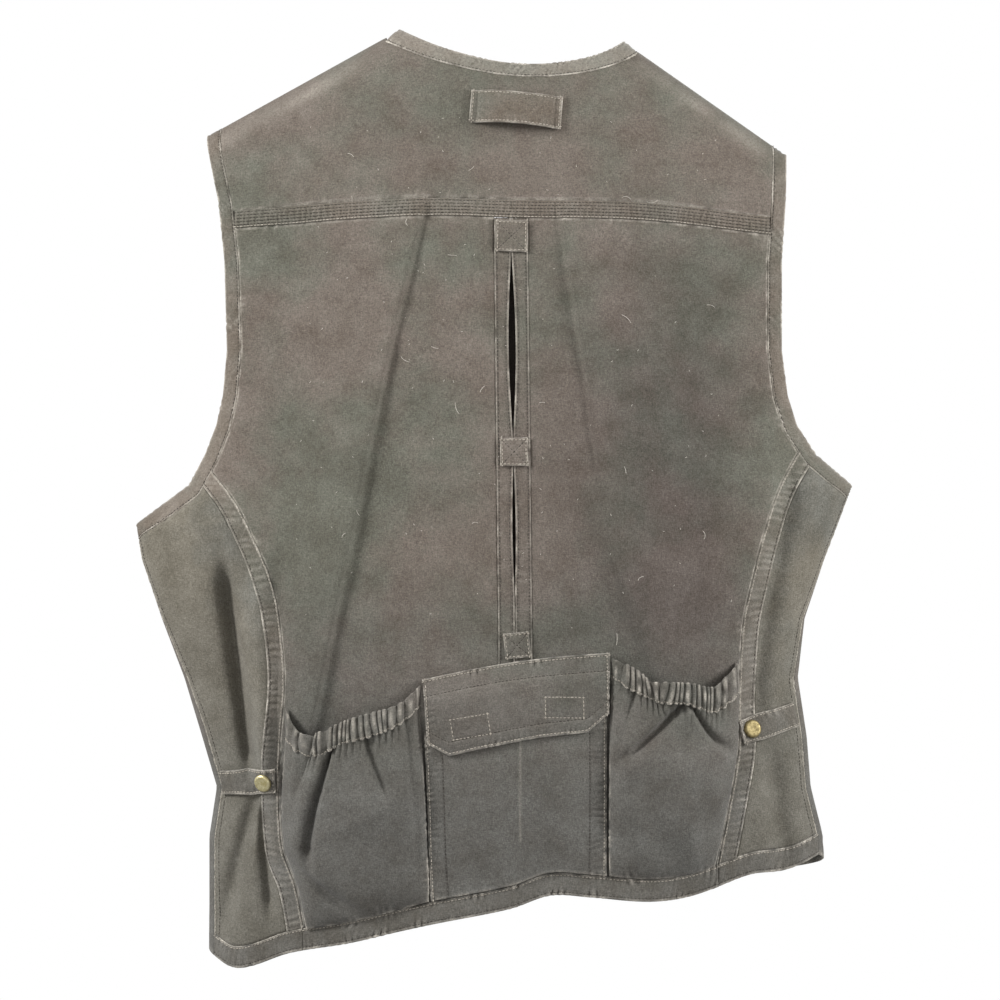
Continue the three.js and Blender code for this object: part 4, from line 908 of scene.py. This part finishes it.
for side in (-1, 1):
    makeElasticPocket(side)
    makeCuff(side)

# Adjuster tabs: from the side seam to the free end, as shares across and down
tab = {"width": 20.0, "lift": 2.9, "thick": 1.8}
tabRows = {-1: (-0.805, 0.803, -0.656, 0.798), 1: (0.775, 0.73, 0.622, 0.748)}


def makeTab(side):
    x0, d0, x1, d1 = tabRows[side]
    a = np.array([x0 * chestHalf, -d0 * fullLength])
    b = np.array([x1 * chestHalf, -d1 * fullLength])
    run = (b - a) / np.hypot(*(b - a))
    u, v = evenly(60)[None, :], evenly(24)[:, None]
    off = (v - 0.5) * tab["width"]
    x, z = lerp(a[0], b[0], u) - run[1] * off, lerp(a[1], b[1], u) + run[0] * off
    borders = tuple((border, 2.0) for border in ("right", "top", "bottom"))
    grid = back(x, z, tab["lift"])
    dress(f"side_tab_{sideName[side]}", grid, tab["thick"], borders, flat=(70, 21), held="stretched",
          seed=101 + side, pucker=0.25, lip=0.35)


for side in (-1, 1):
    makeTab(side)
print("pockets and tabs made")


# Snap caps: domed brass on the tabs, from a profile of shares of radius and height
cap = {"radius": 7.3, "height": 2.7, "lift": 3.9, "alongTab": 0.8}
capProfile = (
    (0.0, 0.94), (0.4, 0.93), (0.7, 0.98), (0.84, 0.93), (0.94, 0.72), (1.0, 0.4), (1.0, 0.0), (0.0, 0.0))


def makeCap(side):
    x0, d0, x1, d1 = tabRows[side]
    x = lerp(x0, x1, cap["alongTab"]) * chestHalf
    z = -lerp(d0, d1, cap["alongTab"]) * fullLength
    foot = back(x, z, cap["lift"])
    out = back(x, z, cap["lift"] + 1) - foot
    out /= np.linalg.norm(out)
    sideways = np.cross(out, [0, 0, 1])
    sideways /= np.linalg.norm(sideways)
    up = np.cross(sideways, out)
    turn = np.linspace(0, math.tau, 64, endpoint=False)
    rings = []
    for radius, height in capProfile:
        r, h = max(radius, 1e-4) * cap["radius"], height * cap["height"]
        rings.append(foot + out * h + (np.cos(turn)[:, None] * sideways + np.sin(turn)[:, None] * up) * r)
    verts = np.concatenate(rings) / 1000
    index = np.arange(len(verts)).reshape(len(rings), 64)
    a, b = index[:-1], index[1:]
    faces = np.stack([a, np.roll(a, -1, 1), np.roll(b, -1, 1), b], -1).reshape(-1, 4)
    piece = makeMesh(f"snap_cap_{sideName[side]}_brass", verts, faces, {"wear": np.zeros(len(verts))})
    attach(piece, "root")
    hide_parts(f"snap_cap_{sideName[side]}")
    return piece


caps = [makeCap(side) for side in (-1, 1)]


# Materials
def linear(colour, alpha=1.0):
    # A hex sRGB colour as linear values
    parts = [int(colour[i:i + 2], 16) / 255 for i in (1, 3, 5)]
    return tuple(p / 12.92 if p <= 0.04045 else ((p + 0.055) / 1.055)**2.4 for p in parts) + (alpha,)


def add(tree, kind, inputs=None, **settings):
    # Adds a node with its settings; each input is a constant or comes from another node
    node = tree.nodes.new(kind)
    for key, value in settings.items():
        setattr(node, key, value)
    for key, value in (inputs or {}).items():
        if isinstance(value, bpy.types.NodeSocket):
            tree.links.new(value, node.inputs[key])
        else:
            node.inputs[key].default_value = value
    return node


# Noise of each cloth: stretch of X and Y, stretch of Z, scale per metre, detail, roughness, and the range
# that is spread from 0 to 1. Patches are about 110 mm across, fading is about 30 mm, and grain and spots are
# 1 to 2 mm.
# Threads 0.35 mm apart are too fine to show, so warp and weft are drawn about 0.8 mm apart and slubbed.
clothNoise = {
    "patches": (1.0, 1.0, 9.0, 4.0, 0.6, 0.42, 0.6),
    "faded": (1.0, 1.0, 34.0, 5.0, 0.7, 0.7, 0.3),
    "warp": (3.0, 0.8, 430.0, 3.0, 0.75, 0.3, 0.7),
    "weft": (0.8, 3.0, 430.0, 3.0, 0.75, 0.3, 0.7),
    "grain": (1.0, 1.0, 900.0, 2.0, 0.8, 0.3, 0.7),
    "spots": (1.0, 1.0, 520.0, 4.0, 0.8, 0.3, 0.62),
}
# Where the cloth is greyer low down, and the borders of the darker patch on the right half, which is painted
# shade and partly wash: axis, from and to in metres
greyAndPaintedShadeZones = {
    "low": ("Z", -0.42, -0.62), "right": ("X", -0.01, 0.1), "inner": ("X", 0.215, 0.15),
    "below": ("Z", -0.1, -0.3), "above": ("Z", -0.56, -0.46),
}


def canvasMaterial(name, warm, cool, worn, shade, lowColour):
    # Washed cotton canvas: matt, mottled brown and green, greyer low down, darker on a patch of the right
    # back with painted shade that is partly wash, and whitish where it is worn
    material = bpy.data.materials.new(name)
    material.use_nodes = True
    tree = material.node_tree
    shader = tree.nodes["Principled BSDF"]
    place = add(tree, "ShaderNodeTexCoord").outputs["Object"]
    parts = add(tree, "ShaderNodeSeparateXYZ", {"Vector": place})
    spread = {}
    for key, (flat, tall, scale, detail, rough, low, high) in clothNoise.items():
        pulled = add(tree, "ShaderNodeVectorMath", {0: place, 1: (flat, flat, tall)}, operation="MULTIPLY")
        noise = add(tree, "ShaderNodeTexNoise", {
            "Vector": pulled.outputs[0], "Scale": scale, "Detail": detail, "Roughness": rough})
        limits = {"Value": noise.outputs["Fac"], "From Min": low, "From Max": high}
        spread[key] = add(tree, "ShaderNodeMapRange", limits).outputs["Result"]
    for key, (axis, start, end) in greyAndPaintedShadeZones.items():
        limits = {"Value": parts.outputs[axis], "From Min": start, "From Max": end}
        spread[key] = add(tree, "ShaderNodeMapRange", limits).outputs["Result"]
    # Painted shade, partly wash: a patch of the right back, which turns from the lights, is darkened by
    # these zones
    dark = 1.0
    for key in ("right", "below", "above", "inner"):
        dark = add(tree, "ShaderNodeMath", {0: dark, 1: spread[key]}, operation="MULTIPLY").outputs[0]
    # The pale grey #dcdadd multiplies in the painted shade of the right back, which is partly wash
    layers = [
        (spread["patches"], cool, "MIX"), (spread["low"], lowColour, "MIX"), (dark, "#dcdadd", "MULTIPLY"),
        (spread["faded"], shade, "MULTIPLY")]
    colour = linear(warm)
    for amount, other, blend in layers:
        inputs = {0: amount, 6: colour, 7: linear(other)}
        colour = add(tree, "ShaderNodeMix", inputs, data_type="RGBA", blend_type=blend).outputs[2]
    for key, amount in (("warp", 0.36), ("weft", 0.36), ("grain", 0.34)):
        inputs = {0: spread[key], 6: linear("#5a5a5a"), 7: linear("#f3f3f3")}
        tone = add(tree, "ShaderNodeMix", inputs, data_type="RGBA").outputs[2]
        inputs = {0: amount, 6: colour, 7: tone}
        colour = add(tree, "ShaderNodeMix", inputs, data_type="RGBA", blend_type="SOFT_LIGHT").outputs[2]
    wear = add(tree, "ShaderNodeAttribute", attribute_name="wear").outputs["Fac"]
    inputs = {0: wear, 1: spread["spots"]}
    rubbed = add(tree, "ShaderNodeMath", inputs, operation="MULTIPLY", use_clamp=True).outputs[0]
    inputs = {0: rubbed, 6: colour, 7: linear(worn)}
    colour = add(tree, "ShaderNodeMix", inputs, data_type="RGBA").outputs[2]
    tree.links.new(colour, shader.inputs["Base Color"])
    looks = {"Roughness": 0.92, "Specular IOR Level": 0.18, "Sheen Weight": 0.1, "Sheen Roughness": 0.5}
    for key, value in looks.items():
        shader.inputs[key].default_value = value
    weave = add(tree, "ShaderNodeMix", {0: 0.5, 2: spread["warp"], 3: spread["weft"]}, data_type="FLOAT")
    bump = add(tree, "ShaderNodeBump", {"Height": weave.outputs[0], "Strength": 0.5, "Distance": 0.0008})
    tree.links.new(bump.outputs["Normal"], shader.inputs["Normal"])
    return material


def spottedMaterial(name, light, dark, perMetre, rough, metal=0.0):
    # A colour that varies in spots, with a roughness that follows it
    material = bpy.data.materials.new(name)
    material.use_nodes = True
    tree = material.node_tree
    shader = tree.nodes["Principled BSDF"]
    place = add(tree, "ShaderNodeTexCoord").outputs["Object"]
    inputs = {"Vector": place, "Scale": perMetre, "Detail": 4.0, "Roughness": 0.65}
    noise = add(tree, "ShaderNodeTexNoise", inputs).outputs["Fac"]
    limits = {"Value": noise, "From Min": 0.35, "From Max": 0.65}
    spots = add(tree, "ShaderNodeMapRange", limits).outputs["Result"]
    inputs = {0: spots, 6: linear(dark), 7: linear(light)}
    colour = add(tree, "ShaderNodeMix", inputs, data_type="RGBA").outputs[2]
    tree.links.new(colour, shader.inputs["Base Color"])
    roughness = add(tree, "ShaderNodeMapRange", {"Value": spots, "To Min": rough[1], "To Max": rough[0]})
    tree.links.new(roughness.outputs["Result"], shader.inputs["Roughness"])
    shader.inputs["Metallic"].default_value = metal
    return material


# The canvas has two washes. Bands are the same cloth folded, a little paler, and the underlay is unwashed.
canvasCloth = canvasMaterial(
    "washed_cotton_canvas", "#776f67", "#6b6b61", "#c4bdb1", "#d6d1cd", "#656460")
sideCloth = canvasMaterial(
    "washed_cotton_canvas_side", "#7b766b", "#72716a", "#c8c2b6", "#d2d0cb", "#706d65")
trimCloth = canvasMaterial(
    "washed_cotton_banding", "#7a7269", "#6f6e65", "#d2cbbf", "#d2cdc6", "#6a6863")
darkCloth = canvasMaterial(
    "underlay_canvas_unwashed", "#3b3531", "#37332f", "#6c655e", "#d2cdc8", "#35322f")
# Faded and brown cotton thread, which fades in patches about 4 mm long
threadCloth = spottedMaterial("cotton_thread_faded", "#c0b8ab", "#978f83", 250.0, (0.8, 0.9))
threadDark = spottedMaterial("cotton_thread_brown", "#443e38", "#2d2823", 250.0, (0.8, 0.9))
lintCloth = spottedMaterial("cotton_lint", "#d2ccc3", "#b3ada3", 250.0, (0.85, 0.95))
# Pressed brass with tarnish in spots about 2.5 mm across: pale on the left, antique on the right
brassLeft = spottedMaterial("snap_brass_pale", "#e0d8b0", "#b5a876", 400.0, (0.32, 0.5), 0.85)
brassRight = spottedMaterial("snap_brass_antique", "#a3956c", "#6f6342", 400.0, (0.42, 0.6), 0.8)

trims = (
    "yoke_band", "neck_band", "armhole_band", "seam_band", "hem", "back_loop", "front_placket", "side_tab")
for node, made in cloth.items():
    piece = made["piece"]
    if node == "vent_underlay":
        material, slot = darkCloth, "underlay"
    elif node.startswith(trims):
        material, slot = trimCloth, "trim"
    elif node.startswith("side_panel"):
        material, slot = sideCloth, "side_canvas"
    else:
        material, slot = canvasCloth, "canvas"
    piece.data.materials.append(material)
for piece, material in zip(caps, (brassLeft, brassRight)):
    piece.data.materials.append(material)
print("materials set")

# Stitches: rows that follow the borders of each cloth piece
def rowLine(node, border, distance):
    # A line on the outside of a piece, at a distance from one of its borders
    points, normals = cloth[node]["outer"], cloth[node]["normals"]
    if border in ("left", "right"):
        points, normals = points.transpose(1, 0, 2), normals.transpose(1, 0, 2)
    if border in ("right", "bottom"):
        points, normals = points[::-1], normals[::-1]
    length = arcs(points, 0)
    line = []
    for column in range(points.shape[1]):
        lifted = points[:, column] + normals[:, column] * 0.12
        line.append([np.interp(distance, length[:, column], lifted[:, axis]) for axis in range(3)])
    return np.array(line)


allSides = ("left", "right", "top", "bottom")
# Rows by thread: node, borders and distances in mm
fadedRows = [
    ("yoke_band", ("bottom",), (0.7,)), ("back_loop", allSides, (1.6,)),
    ("pocket_flap", allSides, (1.8,)), ("center_pocket", ("left", "right"), (1.8,)),
    ("hem_back", ("top",), (1.6,)), ("hem_side_left", ("top",), (1.6,)),
    ("hem_side_right", ("top",), (1.6,))]
darkRows = [
    ("yoke_band", ("top",), (1.6, 4.3, 7.0, 9.7, 12.3)), ("neck_band", ("bottom",), (1.2,)),
    ("pocket_flap", ("bottom",), (11.0,)), ("pocket_flap", ("top",), (14.0,)),
    ("hem_back", ("bottom",), (2.2,)), ("center_pocket", ("left", "right"), (13.5,)),
    ("front_placket", ("left", "right"), (4.0,)), ("hem_side_left", ("bottom",), (2.2,)),
    ("hem_side_right", ("bottom",), (2.2,))]
for tack in tackRows:
    fadedRows.append((f"cross_tack_{tack}", allSides, (1.5,)))
for side in ("left", "right"):
    fadedRows.append((f"side_tab_{side}", ("top", "bottom", "right"), (1.8,)))
    fadedRows.append((f"seam_band_{side}", ("left",), (0.8,)))
    fadedRows.append((f"elastic_cuff_{side}", ("bottom",), (1.2,)))
    darkRows.append((f"seam_band_{side}", ("right",), (2.2,)))
    darkRows.append((f"armhole_band_{side}", ("bottom",), (1.5,)))
    darkRows.append((f"vent_facing_{side}", ("left", "right"), (1.8,)))
    darkRows.append((f"side_panel_{side}", ("right",), (6.0,)))
    fadedRows.append((f"side_panel_{side}", ("right",), (1.2,)))


def crossLines():
    # The stitched cross of each tack
    lines = []
    for tack in tackRows:
        made = cloth[f"cross_tack_{tack}"]
        lifted = made["outer"] + made["normals"] * 0.12
        pick = np.arange(2, len(lifted) - 2)
        lines += [lifted[pick, pick], lifted[pick, len(lifted) - 1 - pick]]
    return lines


def boxLines():
    # The stitched outlines of the two hook and loop patches behind the flap
    lines = []
    for boxAcross, boxDown, turn in flapBoxes:
        corners = [(-1, -1), (1, -1), (1, 1), (-1, 1), (-1, -1)]
        for (a0, b0), (a1, b1) in zip(corners, corners[1:]):
            a, b = lerp(a0, a1, evenly(24)) * 15, lerp(b0, b1, evenly(24)) * 8
            x = boxAcross * chestHalf + a * math.cos(turn) + b * math.sin(turn)
            z = -boxDown * fullLength - a * math.sin(turn) + b * math.cos(turn)
            lines.append(back(x, z, 5.7 + centerLift(x, z)))
    return lines


def lineMesh(name, lines):
    verts = np.concatenate(lines) / 1000
    starts = np.cumsum([0] + [len(line) for line in lines])
    edges = [(k, k + 1) for a, b in zip(starts, starts[1:]) for k in range(a, b - 1)]
    mesh = bpy.data.meshes.new(name)
    mesh.from_pydata(verts.tolist(), edges, [])
    piece = bpy.data.objects.new(name, mesh)
    bpy.context.scene.collection.objects.link(piece)
    return piece


def socketInputs(tree, names):
    tree.interface.new_socket("Geometry", in_out="INPUT", socket_type="NodeSocketGeometry")
    for key in names:
        tree.interface.new_socket(key, in_out="INPUT", socket_type="NodeSocketFloat")
    tree.interface.new_socket("Geometry", in_out="OUTPUT", socket_type="NodeSocketGeometry")
    return tree.nodes.new("NodeGroupInput").outputs


def endTree(tree, geometry, material):
    real = add(tree, "GeometryNodeRealizeInstances", {"Geometry": geometry})
    dyed = add(tree, "GeometryNodeSetMaterial", {"Geometry": real.outputs[0], "Material": material})
    add(tree, "NodeGroupOutput", {"Geometry": dyed.outputs[0]})


def stitchTree(material):
    # Small long beads laid end to end along lines
    tree = bpy.data.node_groups.new("stitches", "GeometryNodeTree")
    inputs = socketInputs(tree, ("Pitch", "Length", "Radius"))
    curve = add(tree, "GeometryNodeMeshToCurve", {"Mesh": inputs["Geometry"]})
    points = add(tree, "GeometryNodeCurveToPoints", {
        "Curve": curve.outputs[0], "Length": inputs["Pitch"]}, mode="LENGTH")
    bead = add(tree, "GeometryNodeMeshUVSphere", {"Segments": 5, "Rings": 3, "Radius": 0.5})
    size = add(tree, "ShaderNodeCombineXYZ", {
        "X": inputs["Radius"], "Y": inputs["Radius"], "Z": inputs["Length"]})
    vary = add(tree, "FunctionNodeRandomValue", {2: 0.75, 3: 1.15, "Seed": 4}, data_type="FLOAT")
    scaled = add(tree, "ShaderNodeVectorMath", {
        0: size.outputs[0], "Scale": vary.outputs[1]}, operation="SCALE")
    rows = add(tree, "GeometryNodeInstanceOnPoints", {
        "Points": points.outputs["Points"], "Instance": bead.outputs["Mesh"],
        "Rotation": points.outputs["Rotation"], "Scale": scaled.outputs[0]})
    endTree(tree, rows.outputs[0], material)
    return tree


def hairTree(material):
    # Fine threads along lines
    tree = bpy.data.node_groups.new("hairs", "GeometryNodeTree")
    inputs = socketInputs(tree, ("Radius",))
    curve = add(tree, "GeometryNodeMeshToCurve", {"Mesh": inputs["Geometry"]})
    ring = add(tree, "GeometryNodeCurvePrimitiveCircle", {"Radius": inputs["Radius"], "Resolution": 4})
    tube = add(tree, "GeometryNodeCurveToMesh", {
        "Curve": curve.outputs[0], "Profile Curve": ring.outputs[0]})
    endTree(tree, tube.outputs[0], material)
    return tree


def grow(piece, tree, values):
    # Runs a tree on a piece and keeps the result as a plain mesh
    modifier = piece.modifiers.new("grow", "NODES")
    modifier.node_group = tree
    for item in tree.interface.items_tree:
        if item.in_out == "INPUT" and item.name in values:
            modifier[item.identifier] = values[item.name]
    evaluated = piece.evaluated_get(bpy.context.evaluated_depsgraph_get())
    mesh = bpy.data.meshes.new_from_object(evaluated)
    piece.modifiers.clear()
    piece.data = mesh
    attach(piece, "root")


# Stitches 2.4 mm long, thicker than real thread so that they show. Sizes in metres
stitch = {"Pitch": 0.0029, "Length": 0.0024, "Radius": 0.00075}
threads = (("faded_stitches", fadedRows, threadCloth), ("brown_stitches", darkRows, threadDark))
for name, rows, material in threads:
    lines = [rowLine(node, border, distance) for node, borders, distances in rows
             for border in borders for distance in distances]
    lines += boxLines() if material is threadCloth else crossLines()
    grow(lineMesh(name, lines), stitchTree(material), stitch)
print("stitches made")

# Lint: short curled hairs caught on the cloth
lint = {"hairs": 150, "seed": 7, "Radius": 0.00016, "lift": 1.25}
draws = np.random.default_rng(lint["seed"])
hairs = []
for _ in range(lint["hairs"]):
    x, z = draws.uniform(-0.6, 0.62) * chestHalf, -draws.uniform(0.09, 0.64) * fullLength
    long = draws.uniform(0.8, 2.2) if draws.random() < 0.85 else draws.uniform(5, 12)
    turn, curl = draws.uniform(0, math.tau), draws.uniform(-0.25, 0.25)
    angles = turn + curl * np.arange(8)
    step = long / 8
    run, rise = np.cumsum(np.cos(angles)) * step, np.cumsum(np.sin(angles)) * step
    hairs.append(back(x + run, z + rise, lint["lift"]))
grow(lineMesh("lint_hairs", hairs), hairTree(lintCloth), lint)
print("lint made")

# Light: a white studio, darker above and below the horizon, with soft lights at both sides
world = bpy.data.worlds.new("studio")
bpy.context.scene.world = world
world.use_nodes = True
sky = world.node_tree
outward = add(sky, "ShaderNodeTexCoord").outputs["Generated"]
direction = add(sky, "ShaderNodeSeparateXYZ", {"Vector": outward})
steep = add(sky, "ShaderNodeMath", {0: direction.outputs["Z"]}, operation="ABSOLUTE")
glow = add(sky, "ShaderNodeMapRange", {
    "Value": steep.outputs[0], "From Min": 0.2, "From Max": 0.34, "To Min": 1.0, "To Max": 0.38})
sky.links.new(glow.outputs["Result"], sky.nodes["Background"].inputs["Strength"])
sky.nodes["Background"].inputs["Color"].default_value = (1, 1, 1, 1)
bpy.context.scene.view_settings.view_transform = "Standard"


def addLight(name, place, aim, size, power):
    data = bpy.data.lights.new(name, "AREA")
    data.shape = "RECTANGLE"
    data.size, data.size_y = size
    data.energy = power
    light = bpy.data.objects.new(name, data)
    light.location = place
    run = np.array(aim) - np.array(place)
    across = math.hypot(run[0], run[1])
    light.rotation_euler = (math.atan2(across, -run[2]), 0, math.atan2(-run[0], run[1]))
    bpy.context.scene.collection.objects.link(light)


addLight("key_left", (-2.0, -0.9, 0.7), (0, 0, -0.4), (0.5, 0.8), 66)
addLight("key_right", (1.9, -0.75, 0.25), (0, 0, -0.4), (0.5, 0.8), 44)
addLight("front_fill", (0.6, 2.2, 0.9), (0, 0, -0.4), (1.2, 1.2), 30)
print("lights set")
